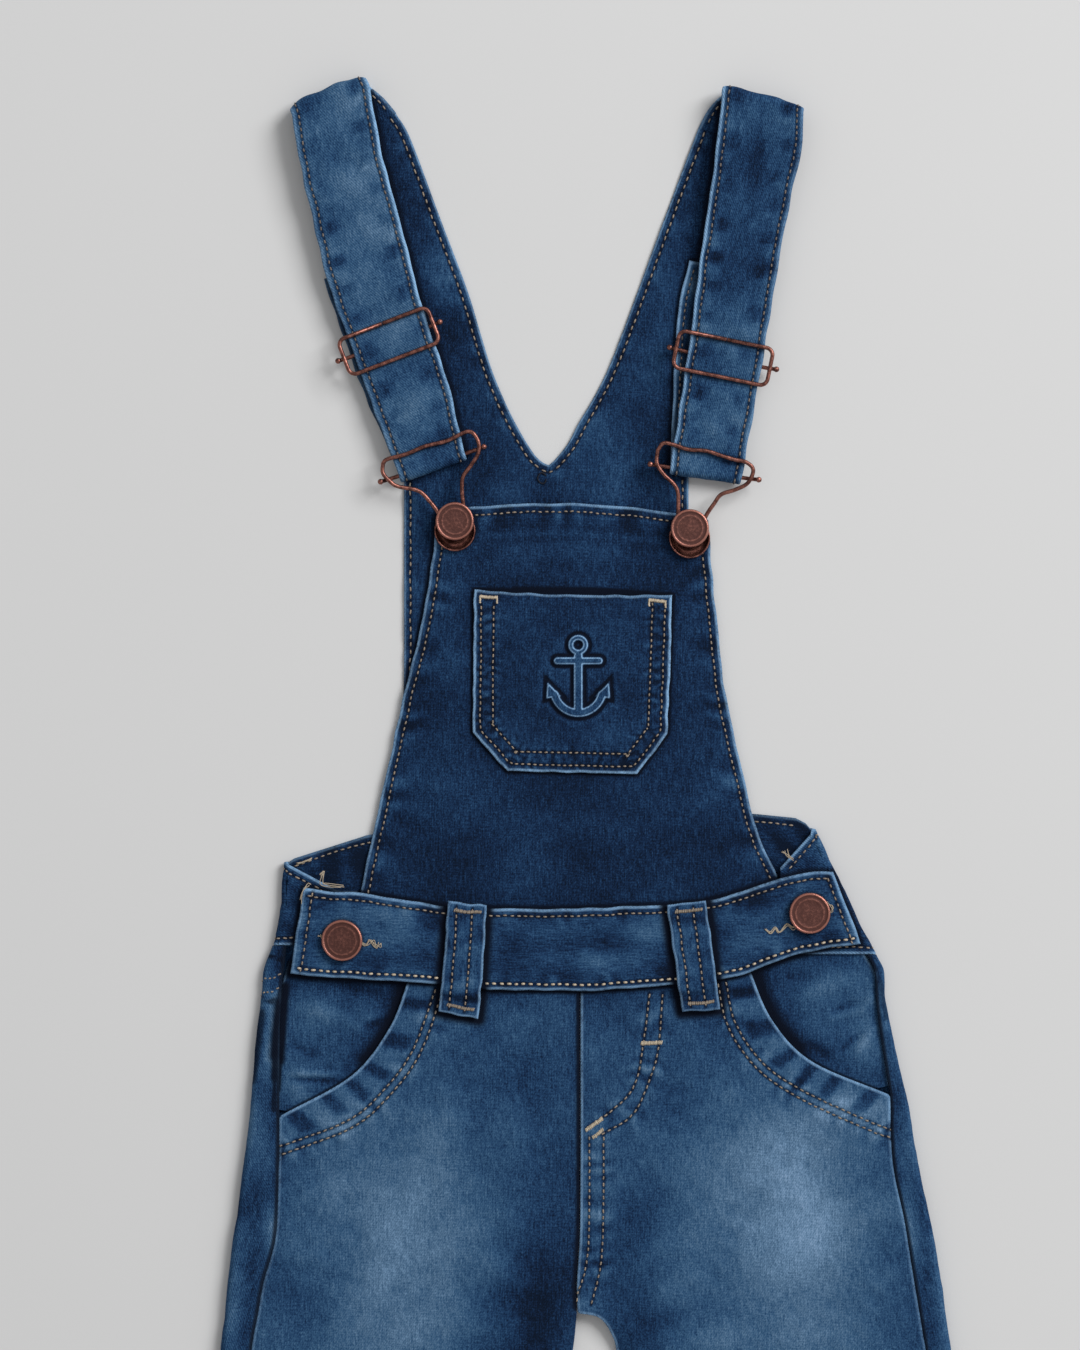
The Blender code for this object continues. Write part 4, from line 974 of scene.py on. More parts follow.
def stitch_mesh(group, finish):
    """Every stitch is a small arch of thread: a ring of points swept along a low parabola."""
    stitches = THREADS[group]
    middle, run, up, size = (np.concatenate([s[k] for s in stitches]) for k in range(4))
    thick = np.concatenate([np.full(len(s[0]), s[4]) for s in stitches])
    across = unit(np.cross(up, run))
    t = np.array([-1.0, -0.85, -0.45, 0.0, 0.45, 0.85, 1.0])
    round_off = np.array([0.25, 0.75, 0.97, 1.0, 0.97, 0.75, 0.25])
    sides = 6
    turn = np.linspace(0, 2 * math.pi, sides, endpoint=False)
    draw = np.random.default_rng(11)
    swing = draw.normal(0, 0.06, len(middle))[:, None]
    run = run + across * swing
    size = size * draw.uniform(0.9, 1.08, len(size))
    centre = (
        middle[:, None] + run[:, None] * (size[:, None] / 2 * t)[..., None]
        + up[:, None] * (thick[:, None] * (0.55 - 1.25 * t**4))[..., None]
    )
    radius = (thick[:, None] * round_off)[:, :, None, None]
    ring = (
        across[:, None, None] * np.cos(turn)[None, None, :, None] * 1.12
        + up[:, None, None] * np.sin(turn)[None, None, :, None] * 0.85
    )
    points = centre[:, :, None] + ring * radius
    count, rings = len(middle), len(t)
    shape = (count, rings, sides)
    number = np.arange(count * rings * sides).reshape(shape)
    wrap = np.concatenate([number, number[:, :, :1]], axis=2)
    corners = [wrap[:, :-1, :-1], wrap[:, 1:, :-1], wrap[:, 1:, 1:], wrap[:, :-1, 1:]]
    groups = [np.stack(corners, -1).reshape(-1, 4), number[:, 0, :], number[:, -1, ::-1]]
    along = np.broadcast_to(t[None, :, None], shape) * size[:, None, None] / 2
    round_it = np.broadcast_to(np.arange(sides)[None, None, :] / sides, shape)
    uv = np.stack([along, round_it], -1).reshape(-1, 2)
    tint = np.broadcast_to(draw.uniform(0, 1, count)[:, None, None], shape)
    piece = new_mesh(group, points.reshape(-1, 3), groups, finish, uv, {"tint": tint})
    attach(piece, "root")


# Shader nodes

class Value:
    """A number socket: each operation on it adds a Math node."""

    def __init__(self, paint, socket):
        self.paint = paint
        self.socket = socket

    def maths(self, operation, first, second):
        return self.paint.node("ShaderNodeMath", {"operation": operation}, {0: first, 1: second})

    def __add__(self, other):
        return self.maths("ADD", self, other)

    def __sub__(self, other):
        return self.maths("SUBTRACT", self, other)

    def __rsub__(self, other):
        return self.maths("SUBTRACT", other, self)

    def __mul__(self, other):
        return self.maths("MULTIPLY", self, other)

    def __abs__(self):
        return self.paint.node("ShaderNodeMath", {"operation": "ABSOLUTE"}, {0: self})

    __radd__ = __add__
    __rmul__ = __mul__


class Paint:
    """One material: a Principled shader and the nodes that feed it."""

    def __init__(self, name, **uniform):
        self.material = bpy.data.materials.new(name)
        self.material.use_nodes = True
        self.tree = self.material.node_tree
        self.shader = self.tree.nodes["Principled BSDF"]
        for key, value in uniform.items():
            self.shader.inputs[key.replace("_", " ")].default_value = value

    def node(self, kind, settings=None, sockets=None, output=0):
        """Adds a node: settings and a ramp's stops first, then its sockets' values or links."""
        made = self.tree.nodes.new(kind)
        for key, value in (settings or {}).items():
            if key == "stops":
                self.set_stops(made.color_ramp, value)
            else:
                setattr(made, key, value)
        for key, value in (sockets or {}).items():
            if isinstance(value, Value):
                self.tree.links.new(value.socket, made.inputs[key])
            else:
                made.inputs[key].default_value = value
        return Value(self, made.outputs[output])

    def set_stops(self, ramp, stops):
        while len(ramp.elements) < len(stops):
            ramp.elements.new(0.5)
        for element, (place, colour) in zip(ramp.elements, stops):
            element.position = place
            element.color = (*colour, 1.0)

    def attribute(self, name):
        return self.node("ShaderNodeAttribute", {"attribute_name": name}, output="Fac")

    def cloth_uv(self):
        return self.node("ShaderNodeUVMap", {"uv_map": "cloth"})

    def coordinates(self):
        return self.node("ShaderNodeTexCoord", output="Object")

    def scaled(self, vector, *sizes):
        """The vector scaled so that a pattern's cells have these sizes."""
        scale = (*(1 / size for size in sizes), 1.0)
        return self.node("ShaderNodeMapping", {}, {"Vector": vector, "Scale": scale})

    def part(self, vector, axis):
        return self.node("ShaderNodeSeparateXYZ", {}, {0: vector}, axis)

    def noise(self, vector, scale=1.0, detail=2.0, roughness=0.5):
        sockets = {"Vector": vector, "Scale": scale, "Detail": detail, "Roughness": roughness}
        return self.node("ShaderNodeTexNoise", {}, sockets)

    def between(self, value, low, high, start=0.0, end=1.0):
        """The value's smooth step from low to high, as start to end."""
        sockets = {"Value": value, "From Min": low, "From Max": high, "To Min": start, "To Max": end}
        return self.node("ShaderNodeMapRange", {"interpolation_type": "SMOOTHSTEP"}, sockets)

    def ramp(self, value, stops):
        return self.node("ShaderNodeValToRGB", {"stops": stops}, {"Fac": value}, "Color")

    def mix(self, factor, first, second, blend="MIX"):
        settings = {"data_type": "RGBA", "blend_type": blend}
        first, second = ((*c, 1.0) if isinstance(c, tuple) else c for c in (first, second))
        return self.node("ShaderNodeMix", settings, {0: factor, 6: first, 7: second}, output=2)

    def bump(self, height, distance, strength=1.0):
        sockets = {"Height": height, "Distance": distance, "Strength": strength}
        return self.node("ShaderNodeBump", {}, sockets)

    def feed(self, **links):
        for key, value in links.items():
            self.tree.links.new(value.socket, self.shader.inputs[key.replace("_", " ")])
        return self.material


def denim():
    """Washed indigo twill: faded tone with painted light and shade from the relief, worn rims, dark
    needle lines, painted shadows beside covering pieces and in the anchor's groove, streaks along the
    warp.
    """
    paint = Paint("washed_denim", Specular_IOR_Level=0.06)
    uv = paint.cloth_uv()
    u, v = paint.part(uv, "X"), paint.part(uv, "Y")
    angle = math.radians(TWILL_DEGREES)
    turns = 2 * math.pi / TWILL
    diagonal = u * (math.sin(angle) * turns) - v * (math.cos(angle) * turns)
    twill = paint.node("ShaderNodeMath", {"operation": "SINE"}, {0: diagonal}) * 0.5 + 0.5
    slub = paint.noise(paint.scaled(uv, *SLUB), 1.0, 2.0)
    weft = paint.noise(paint.scaled(uv, SLUB[1] / 1.6, SLUB[0]), 1.0, 2.0)
    grain = paint.noise(paint.scaled(uv, GRAIN, GRAIN), 1.0, 3.0, 0.65)
    place = paint.coordinates()
    cloud = paint.noise(place, 1 / CLOUD, 4.0, 0.55)
    drift = paint.noise(place, 1 / (CLOUD * 3.5), 2.0)
    fade, rim, worn, sewn = (paint.attribute(key) for key in ("fade", "rim", "worn", "sewn"))
    near, deep, lifted = (paint.attribute(key) for key in ("near", "deep", "lift"))
    badge, inside = paint.attribute("badge"), paint.attribute("inside")

    leaning = {"Vector": uv, "Rotation": (0.0, 0.0, math.radians(MOTTLE_DEGREES))}
    leaning = paint.node("ShaderNodeMapping", {"vector_type": "POINT"}, leaning)
    mottle = paint.noise(paint.scaled(leaning, *MOTTLE), 1.0, 3.0, 0.6)
    cloudy = (cloud - 0.5) * 0.62 + (drift - 0.5) * 0.34
    # Raised cloth is drawn lighter and sunk cloth darker: painted light and shade from the relief
    level = fade + cloudy * (fade * 0.9 + 0.04) + lifted * 0.22
    level = level + (slub - 0.5) * 0.56 + (weft - 0.5) * 0.26 + (grain - 0.5) * 0.90
    level = level + (mottle - 0.5) * 0.30
    # Inner sides are drawn darker by the inside value: painted shade
    colour = paint.ramp((level - inside) * RAMP_SCALE, DENIM_STOPS)
    uneven = cloud * 0.5 + drift * 0.4 + grain * 0.6 + mottle * 0.5
    patchy = paint.between(uneven, 0.72, 1.22, 0.25, 1.25)
    edge = paint.between(rim + (grain - 0.5) * 0.9, 0.55, 1.35, 1.0, 0.0) * worn
    colour = paint.mix(edge * patchy * (1 - inside * 2.0), colour, RIM_BLUE)
    colour = paint.mix(paint.between(sewn, 0.25, 0.95, 0.72, 0.0), colour, SEAM_AND_SHADE_DARK)
    # Pale line along the anchor's raised edge: painted highlight with rubbed wear
    ridge = paint.between(abs(badge + 0.38), 0.08, 0.42, 0.80, 0.0)
    colour = paint.mix(ridge * patchy, colour, RIM_BLUE)
    # Painted shade in the groove round the anchor
    moat = paint.between(abs(badge - 0.85), 0.35, 1.1, 0.95, 0.0)
    colour = paint.mix(moat, colour, SEAM_AND_SHADE_DARK)
    # Painted shadow under and beside the pieces that lie on this cloth
    painted_contact_shadow = paint.between(near, 0.4, 1.45, 1.0, 0.0) * deep
    colour = paint.mix(painted_contact_shadow, colour, SEAM_AND_SHADE_DARK)
    shade = twill * 0.14 + 0.93
    grey = paint.node("ShaderNodeCombineColor", {}, {0: shade, 1: shade, 2: shade})
    height = twill * 0.6 + slub * 0.5 + weft * 0.3 + grain * 0.7
    return paint.feed(
        Base_Color=paint.mix(1.0, colour, grey, "MULTIPLY"),
        Roughness=paint.between(grain, 0.2, 0.8, 0.95, 0.78),
        Normal=paint.bump(height, 0.00022, 0.8),
    )


def thread_finish(name, colour):
    """Two-ply sewing thread: twist lines, darker here and there."""
    paint = Paint(name, Roughness=0.7, Specular_IOR_Level=0.3)
    sockets = {"Vector": paint.cloth_uv(), "Scale": 0.9}
    wave = paint.node("ShaderNodeTexWave", {"bands_direction": "DIAGONAL"}, sockets)
    shade = paint.between(paint.attribute("tint") + (wave - 0.5) * 0.5, 0.0, 1.0, 0.55, 0.0)
    dark = tuple(0.45 * c for c in colour)
    return paint.feed(
        Base_Color=paint.mix(shade, colour, dark), Normal=paint.bump(wave, 0.00012, 0.7)
    )


def antique_copper():
    """Copper plating, dark in its grain and worn bright in patches."""
    paint = Paint("antique_copper", Metallic=0.9)
    place = paint.coordinates()
    patches = paint.noise(place, 420.0, 4.0, 0.6)
    fine = paint.noise(place, 2600.0, 3.0, 0.6)
    worn = paint.between(patches + (fine - 0.5) * 0.7, 0.32, 0.78)
    return paint.feed(
        Base_Color=paint.mix(worn, COPPER_DARK, COPPER_BRIGHT),
        Roughness=paint.between(fine, 0.2, 0.8, 0.30, 0.48),
        Normal=paint.bump(fine, 0.00006, 0.6),
    )


def button_face():
    """Dark matte patina of the buttons' dished faces, with a brighter worn ring."""
    paint = Paint("button_patina", Metallic=0.75)
    place = paint.coordinates()
    worn = paint.attribute("worn")
    patches = paint.noise(place, 900.0, 4.0, 0.65)
    fine = paint.noise(place, 3200.0, 3.0, 0.6)
    amount = paint.between(worn + (patches - 0.5) * 0.9 + (fine - 0.5) * 0.4, 0.25, 1.0)
    return paint.feed(
        Base_Color=paint.mix(amount, COPPER_DARK, COPPER_BRIGHT),
        Roughness=paint.between(amount, 0.0, 1.0, 0.62, 0.34),
        Normal=paint.bump(patches + fine * 0.6, 0.00012, 0.8),
    )


def floor_finish():
    """Matte pale floor, a little uneven in tone."""
    paint = Paint("pale_floor", Roughness=0.9, Specular_IOR_Level=0.1)
    tone = paint.noise(paint.coordinates(), 3.0, 3.0)
    low, high = (FLOOR_GREY * 0.985,) * 3, (FLOOR_GREY * 1.015,) * 3
    return paint.feed(Base_Color=paint.mix(tone, low, high))


DENIM = denim()
THREAD_TAN = thread_finish("tan_thread", TAN)
THREAD_CREAM = thread_finish("cream_thread", CREAM)
THREAD_NAVY = thread_finish("navy_thread", NAVY)
THREAD_DULL = thread_finish("dull_thread", DULL)
COPPER = antique_copper()
PATINA = button_face()


# Cloth pieces

def put_cloth(name, panel, nodes, turn_weave=False):
    points, groups = panel.mesh_parts()
    uv = cloth_uv(panel, turn_weave)
    piece = new_mesh(name, points, groups, DENIM, uv, panel.attributes())
    declare(piece, [panel], nodes)


def cloth_uv(panel, turn_weave=False):
    """Flat coordinates in metres for both sides, turned where the warp runs along x."""
    flat = panel.flat.reshape(-1, 2) * MM
    flat = flat[:, ::-1] if turn_weave else flat
    return np.concatenate([flat, flat])


def declare(piece, panels, nodes):
    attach(piece, "root")
    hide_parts(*nodes)
    low = np.min([p.flat.reshape(-1, 2).min(0) for p in panels], axis=0)
    high = np.max([p.flat.reshape(-1, 2).max(0) for p in panels], axis=0)
    size = (high - low) * MM
    area = sum(p.area() for p in panels)
    area = min(max(area, 0.3 * size[0] * size[1]), size[0] * size[1])


def lift(y):
    """Height of the flattened legs and hips above the floor."""
    return np.interp(y, LIFT_Y, LIFT_Z)


def sew_rows(panel, paths, group, pitch):
    for path in paths:
        sew(panel, path, group, pitch)


def leg_rows(mouth, hip, low, sign):
    """Rows of a front panel: side edge x, y and inner edge x, y, from the waist down."""
    top = through(mouth, 12)
    middle = through(hip, 12)[1:]
    bottom = through(low, 12)[1:]
    side = np.concatenate([top[:, :2], middle[:, [2, 0]], bottom[:, [2, 0]]])
    inner = np.concatenate([top[:, 2:], middle[:, 3:], bottom[:, 3:]])
    side[:, 0] -= sign * HALF_SEAM
    inner[:, 0] += sign * HALF_SEAM
    return np.concatenate([side, inner], axis=1)


# Folds at the back legs' upper side edge: path, darkness of the painted shade in the fold, its reach,
# and painted light on the cloth beside it
SIDE_LINES = {
    "left": (
        (((-122.8, 129), (-124.2, 116), (-124.9, 106)), 0.98, 2.8, 0.26),
        (((-124.7, 108), (-125.1, 97)), 0.95, 1.9, 0.10),
        (((-125, 98), (-125.9, 84)), 0.8, 1, 0.04),
        (((-130.4, 124), (-132.4, 110), (-134.4, 96)), 0.7, 1.7, 0),
        (((-131.5, 130.4), (-122, 127.6)), 0.75, 0.9, 0.10),
        (((-128.6, 147.8), (-119, 145)), 0.85, 1.1, 0),
    ),
    "right": (
        (((122, 143.5), (125.6, 136), (128, 122)), 0.5, 1.2, 0.06),
    ),
}
VISIBLE_LEG_Y = -30.0


def thinned(rows):
    """Rows at cell steps where the legs show, and at wider steps below that."""
    fine = even_rows(rows, CELL)
    shown = fine[:, 1] > VISIBLE_LEG_Y
    rest = fine[~shown]
    keep = np.zeros(len(rest), bool)
    keep[:: int(LOW_CELL / CELL + 0.5)] = True
    keep[-len(EDGE_LINES) - 1:] = True
    return np.concatenate([fine[shown], rest[keep]])


# Sewn rows of the front legs: round the fly, down the centre and along the pocket mouths
FLY_INNER = ((29.9, 132.4), (27.4, 111.6), (23.7, 94.2), (14.5, 83.8), (3.7, 76.4))
FLY_OUTER = ((35.3, 132.4), (33.6, 109.6), (29.9, 96.3), (22.8, 81.8), (9.5, 73.5))
CENTRE_ROWS = (
    ((5, 73.5), (5, 46.1), (4.1, 22), (-0.8, 4.1)),
    ((10.8, 73.5), (10.8, 46.1), (10, 22), (5.8, 3.3)),
)
MOUTH_ROW_LEFT = ((-58.5, 134.4), (-68.5, 107.9), (-81.3, 90.9), (-95.4, 79.3), (-123.7, 68.5))
MOUTH_ROW_RIGHT = (
    (61.4, 137.5), (65.2, 120.3), (75.9, 104.2), (90.5, 93.4), (112.9, 82.6), (131.1, 75.1),
)
MOUTH_ROWS_APART = 3.3


def closed(rows):
    """Outline of a table of left and right points: down its left, up its right."""
    return np.concatenate([rows[:, 0:2], rows[::-1, 2:4], rows[:1, 0:2]])


def circle(middle, radius):
    """Outline of a button or cup."""
    turn = np.linspace(0, 2 * math.pi, 33)
    return np.column_stack([middle[0] + radius * np.cos(turn), middle[1] + radius * np.sin(turn)])


def slider_path(side):
    """Middle line of a slider's wire, in plan, round its four corners."""
    middle = np.array(SLIDERS[side][:2])
    turn = math.radians(SLIDERS[side][2])
    along = np.array([math.cos(turn), math.sin(turn)])
    up = np.array([-along[1], along[0]])
    half_width, half_height = SLIDER_WIDTH / 2, SLIDER_HEIGHT / 2
    path = []
    for quarter, (right, top) in enumerate(((1, 1), (-1, 1), (-1, -1), (1, -1))):
        corner = (right * (half_width - SLIDER_CORNER), top * (half_height - SLIDER_CORNER))
        path += arc(corner, SLIDER_CORNER, quarter * 90, quarter * 90 + 90, 9)
    return np.array([middle + a * along + b * up for a, b in path])


BAND_OUTLINE = closed(through(FRONT_BAND, 8))
BIB_OUTLINE = closed(through(BIB, 8))
LOOP_OUTLINES = [closed(through(table, 6)) for table in (LOOP_LEFT, LOOP_RIGHT)]
STRAP_OUTLINES = [
    closed(through(table, 8)[4:]) for table in (STRAP_LEFT_FRONT, STRAP_RIGHT_FRONT)
]
RETURN_OUTLINES = [closed(through(table, 6)) for table in (STRAP_LEFT_RETURN, STRAP_RIGHT_RETURN)]


def leg_front(side, mouth, hip, low):
    """Front leg: heights by y, folds, mouth facing, fly and centre sewing, turned hem."""
    on_left = side == "left"
    plan = laid_plan(thinned(leg_rows(mouth, hip, low, -1 if on_left else 1)), CELL)
    x, y = plan[..., 0], plan[..., 1]
    height = lift(y) + 0 * x
    from_inner = np.abs(x - plan[:, -1, 0][:, None])
    drop = (height - BIB_REST) * (1 - smoothstep(from_inner / INNER_EDGE_WIDTH))
    height = height - drop * smoothstep(-y / 20)
    edges = outline_of(plan, "left right end")
    wear = (0.6, 0.0 if on_left else 0.55, 0.5)
    panel = Panel(np.dstack([plan, height]), plan, CLOTH, edges, wear)
    panel.worn *= 1 - 0.55 * smoothstep((84 - y) / 8) * smoothstep((from_inner - 30) / 10)
    panel.fade += FRONT_LEG_TONE + fades(x, y, LEG_FADES)
    panel.shade(BAND_OUTLINE, 0.95, 1.7, 0.10)
    for outline in LOOP_OUTLINES:
        panel.shade(outline, 0.99, 3.3, 0.06)
    if on_left:
        panel.shade(plan[plan[:, -1, 1] > 2][:, -1], 0.97, 1.7, 0.08)
    panel.relief += folds(x, y, LEG_FOLDS)
    panel.soften(34.0, 0.16, 5 if on_left else 9)
    hem_y = low[-1][0] + HEM_HEIGHT
    panel.relief += HEM_STEP * smoothstep((hem_y - y) / 1.2)
    row = through(MOUTH_ROW_LEFT if on_left else MOUTH_ROW_RIGHT, 8)
    rows = [row, beside(row, MOUTH_ROWS_APART if on_left else -MOUTH_ROWS_APART)]
    if not on_left:
        rows += [through(path, 8) for path in (FLY_INNER, FLY_OUTER, *CENTRE_ROWS)]
    gap, along = path_distance(plan, through(mouth, 6)[:, :2])
    swing = along * RIPPLE / 12.5 + 1.3 * np.sin(along / 8.0) + 0.12 * gap
    blot = 0.5 + 0.5 * np.sin(swing)
    band = smoothstep(gap / 2.0) * smoothstep((12.8 - gap) / 3.0)
    panel.fade += band * (0.12 - 0.34 * smoothstep(blot * 2.2 - 1.0))
    panel.relief -= 0.25 * band * blot
    hem_row = np.column_stack([plan[-1, :, 0], np.full(plan.shape[1], hem_y + HEM_ROW_ABOVE)])
    rows.append(hem_row[2:-2])
    for path in rows:
        panel.row(path, wave=9.0)
    panel.finish_surface()
    name = f"front_leg_{side}"
    put_cloth(name, panel, [f"leg_front_{side}"])
    sew_rows(panel, rows, "thread_legs", 2.7)
    return panel


def girth(base):
    """Length round the cloth from each row's first point, in the plane of x and z."""
    step = np.linalg.norm(np.diff(base[:, :, [0, 2]], axis=1), axis=-1)
    return np.concatenate([np.zeros((len(base), 1)), np.cumsum(step, axis=1)], axis=1)


def leg_back(side, top, hip, low):
    """Back leg: flat on the floor, round the outer edge and up to the side seam on top."""
    sign = 1 if side == "right" else -1
    rows = np.concatenate([through(top, 8), through(hip, 8)[1:], through(low, 8)[1:]])
    at = lengths(rows[:, [1, 0]])
    places = cell_lines([at[-1]], int(at[-1] / 1.9))[0]
    rows = np.column_stack([np.interp(places, at, rows[:, k]) for k in range(5)])
    side_y, edge, seam, inner_x, inner_y = rows.T
    height = lift(side_y)
    radius = height / 2
    angle = np.linspace(0, math.pi, 11)
    seam_in = np.abs(edge - seam) + HALF_SEAM
    floor_end = np.abs(edge - inner_x) - HALF_SEAM
    top_share = np.array([1.0, 0.985, 0.95, 0.88, 0.75, 0.6, 0.45, 0.3, 0.15])
    top_in = radius[:, None] + (seam_in - radius)[:, None] * top_share
    wrap_in = radius[:, None] * (1 - np.sin(angle))
    floor_share = np.concatenate([np.linspace(0, 1, 46)[1:-1], [0.997, 1.0]])
    floor_in = radius[:, None] + (floor_end - radius)[:, None] * floor_share
    inward = np.concatenate([top_in, wrap_in, floor_in], axis=1)
    up = np.concatenate([
        height[:, None] + 0 * top_in, radius[:, None] * (1 + np.cos(angle)), 0 * floor_in,
    ], axis=1)
    slant = np.concatenate([0 * top_in, 0 * wrap_in, floor_share + 0 * floor_in], axis=1)
    y = side_y[:, None] + (inner_y - side_y)[:, None] * slant
    base = np.dstack([edge[:, None] - sign * inward, y, up])
    across = girth(base)
    flat = np.dstack([across, y])
    edges = outline_of(flat, "left right end")
    panel = Panel(base, flat, CLOTH, edges, (0.1, 0.1, 0.5), up_at=(5, 0))
    panel.fade += BACK_LEG_TONE[side] + 0.09 * waves(across * 2.2, y, 34, 3)
    panel.shade(np.column_stack([seam, side_y]), 0.9, 1.3, 0.06)
    panel.shade(BAND_OUTLINE, 0.9, 1.6, 0.05)
    # Painted shade in the folds and painted light on the cloth beside them
    for path, amount, reach, gain in SIDE_LINES[side]:
        panel.shade(path, amount, reach)
        panel.fade += gain * bell((distance(panel.base[..., :2], path) - 3.0) / 1.6)
    panel.soften(26.0, 0.12, 21 if side == "left" else 27)
    hem_y = low[-1][0] + HEM_HEIGHT + HEM_ROW_ABOVE
    hem_row = np.column_stack([across[-1], np.full(across.shape[1], hem_y)])[2:-2]
    panel.row(hem_row)
    panel.finish_surface(0.0, off_floor(panel))
    put_cloth(f"back_leg_{side}", panel, [f"leg_back_{side}"])
    sew(panel, hem_row, "thread_legs", 2.9)
    if side == "left":
        for y in (138.4, 132.6):
            sew(panel, ((0.8, y + 1.5), (10.0, y - 1.5)), "thread_legs", 2.0)


def off_floor(panel):
    """0 where the cloth faces the floor and stays flat, and 1 elsewhere."""
    return smoothstep((panel.normal[..., 2] + 0.9) / 0.5)


def hip_cloth(side, table, fold_table):
    """Hip cloth seen in the curved pocket: folded, sunk and shaded along the pocket's mouth."""
    on_left = side == "left"
    plan = laid_plan(even_rows(through(table, 10), CELL), CELL)
    x, y = plan[..., 0], plan[..., 1]
    base = np.dstack([plan, lift(y) - CLOTH - SEAM])
    panel = Panel(base, plan, CLOTH, outline_of(plan, side), 0.3)
    # Painted light on the folds' ridges and painted shade in their troughs, with the hip's listed
    # lighter and darker places
    panel.fade += HIP_TONE + 0.12 * folds(x, y, fold_table) + fades(x, y, HIP_FADES_AND_SHADE)
    panel.relief += folds(x, y, fold_table)
    panel.soften(24.0, 0.14, 31)
    mouth = through(MOUTH_LEFT if on_left else MOUTH_RIGHT, 6)[:, :2]
    gap = distance(plan, mouth)
    mouth_x = np.interp(y, mouth[::-1, 1], mouth[::-1, 0])
    covered = x > mouth_x if on_left else x < mouth_x
    open_share = np.where(covered, 0.0, smoothstep(gap / 7))
    panel.relief = open_share * panel.relief - 0.4 * bell(gap / 7)
    # Painted shade in the pocket's mouth, away from its end at the side seam
    deep = mouth[:-8]
    panel.fade -= 0.24 * bell(distance(plan, deep) / 7)
    panel.shade(deep, 0.97, 3.8 if on_left else 4.8)
    panel.shade(mouth, 0.85, 0.9)
    panel.shade(BAND_OUTLINE, 0.97, 2.4, 0.12)
    if on_left:
        panel.shade(((-121.0, 135.0), (-122.4, 116.0), (-123.2, 104.0)), 0.98, 2.2, 0.06)
        panel.shade(((-123.2, 104.0), (-123.8, 92.0)), 0.9, 1.2)
    panel.finish_surface()
    name = f"hip_cloth_{side}"
    put_cloth(name, panel, [f"pocket_cloth_{side}"])


def bib_height(x, y):
    """Outer side of the bib: at rest along its edges, gently crowned between them."""
    table = np.array(BIB)
    left = np.interp(y, table[:, 1], table[:, 0])
    right = np.interp(y, table[:, 3], table[:, 2])
    share = np.clip((x - left) / (right - left), 0, 1)
    return BIB_REST + np.interp(y, BIB_LOFT_Y, BIB_LOFT_Z) * 4 * share * (1 - share)


def bowed(rows, cell):
    """Plan grid whose rows rise in the middle by the last column."""
    plan = laid_plan(rows, cell)
    left, right = plan[:, :1, :], plan[:, -1:, :]
    u = np.linalg.norm(plan - left, axis=-1) / np.linalg.norm(right - left, axis=-1)
    plan[..., 1] += rows[:, 4:5] * 4 * u * (1 - u)
    return plan


def bib_front():
    """Bib on its own heights, with one sewn row round it and the shadow of the pocket."""
    plan = bowed(even_rows(through(BIB, 10), CELL), CELL)
    x, y = plan[..., 0], plan[..., 1]
    base = np.dstack([plan, bib_height(x, y)])
    panel = Panel(base, plan, CLOTH, outline_of(plan, "left end right"), 0.62)
    panel.wobble(0.13, 16.0, 5)
    panel.fade += BIB_TONE + 0.03 * waves(x, y, 60, 71) + fades(x, y, BIB_FADES)
    panel.relief += folds(x, y, BIB_FOLDS)
    panel.soften(32.0, 0.09, 41)
    panel.shade(BAND_OUTLINE, 0.9, 1.6, 0.03)
    for place in BIB_BUTTONS.values():
        panel.shade(circle((place[0], place[1] - 2), 8.4), 0.7, 1.6)
    inner = np.concatenate([plan[:, 0], plan[-1, 1:-1], plan[::-1, -1]])
    row = beside(resampled(inner, 2.0), -3.3)
    panel.row(row, wave=12.0, reach=5.5, pucker=0.22)
    pocket = closed(pocket_rows())
    panel.shade(pocket, 0.97, 1.25, 0.03)
    panel.shade(((-26.0, 299.4), (4.0, 299.4), (30.0, 297.7)), 0.95, 1.25)
    panel.relief -= 0.2 * bell(distance(plan, pocket) / 2.5)
    # A pale line and a darker band beside it, 12.5 mm under the top edge: painted light and shade of
    # the turned hem's step
    hem = distance(plan, plan[-1] - (0.0, 12.5))
    panel.fade += 0.07 * bell(hem / 1.2) - 0.05 * bell((hem - 2.5) / 1.5)
    panel.finish_surface()
    put_cloth("bib", panel, ["bib_front"])
    sew(panel, row, "thread_bib", 2.65)


def pocket_rows():
    """Rows of the bib pocket, from its mouth down to its blunt point."""
    return np.concatenate([through(BIB_POCKET, 20), through(BIB_POCKET_TIP, 20)[1:]])


def bar_distance(x, y, ends, half):
    """Distance outside a bar with round ends, drawn between two points."""
    return distance(np.stack([x, y], -1), ends) - half


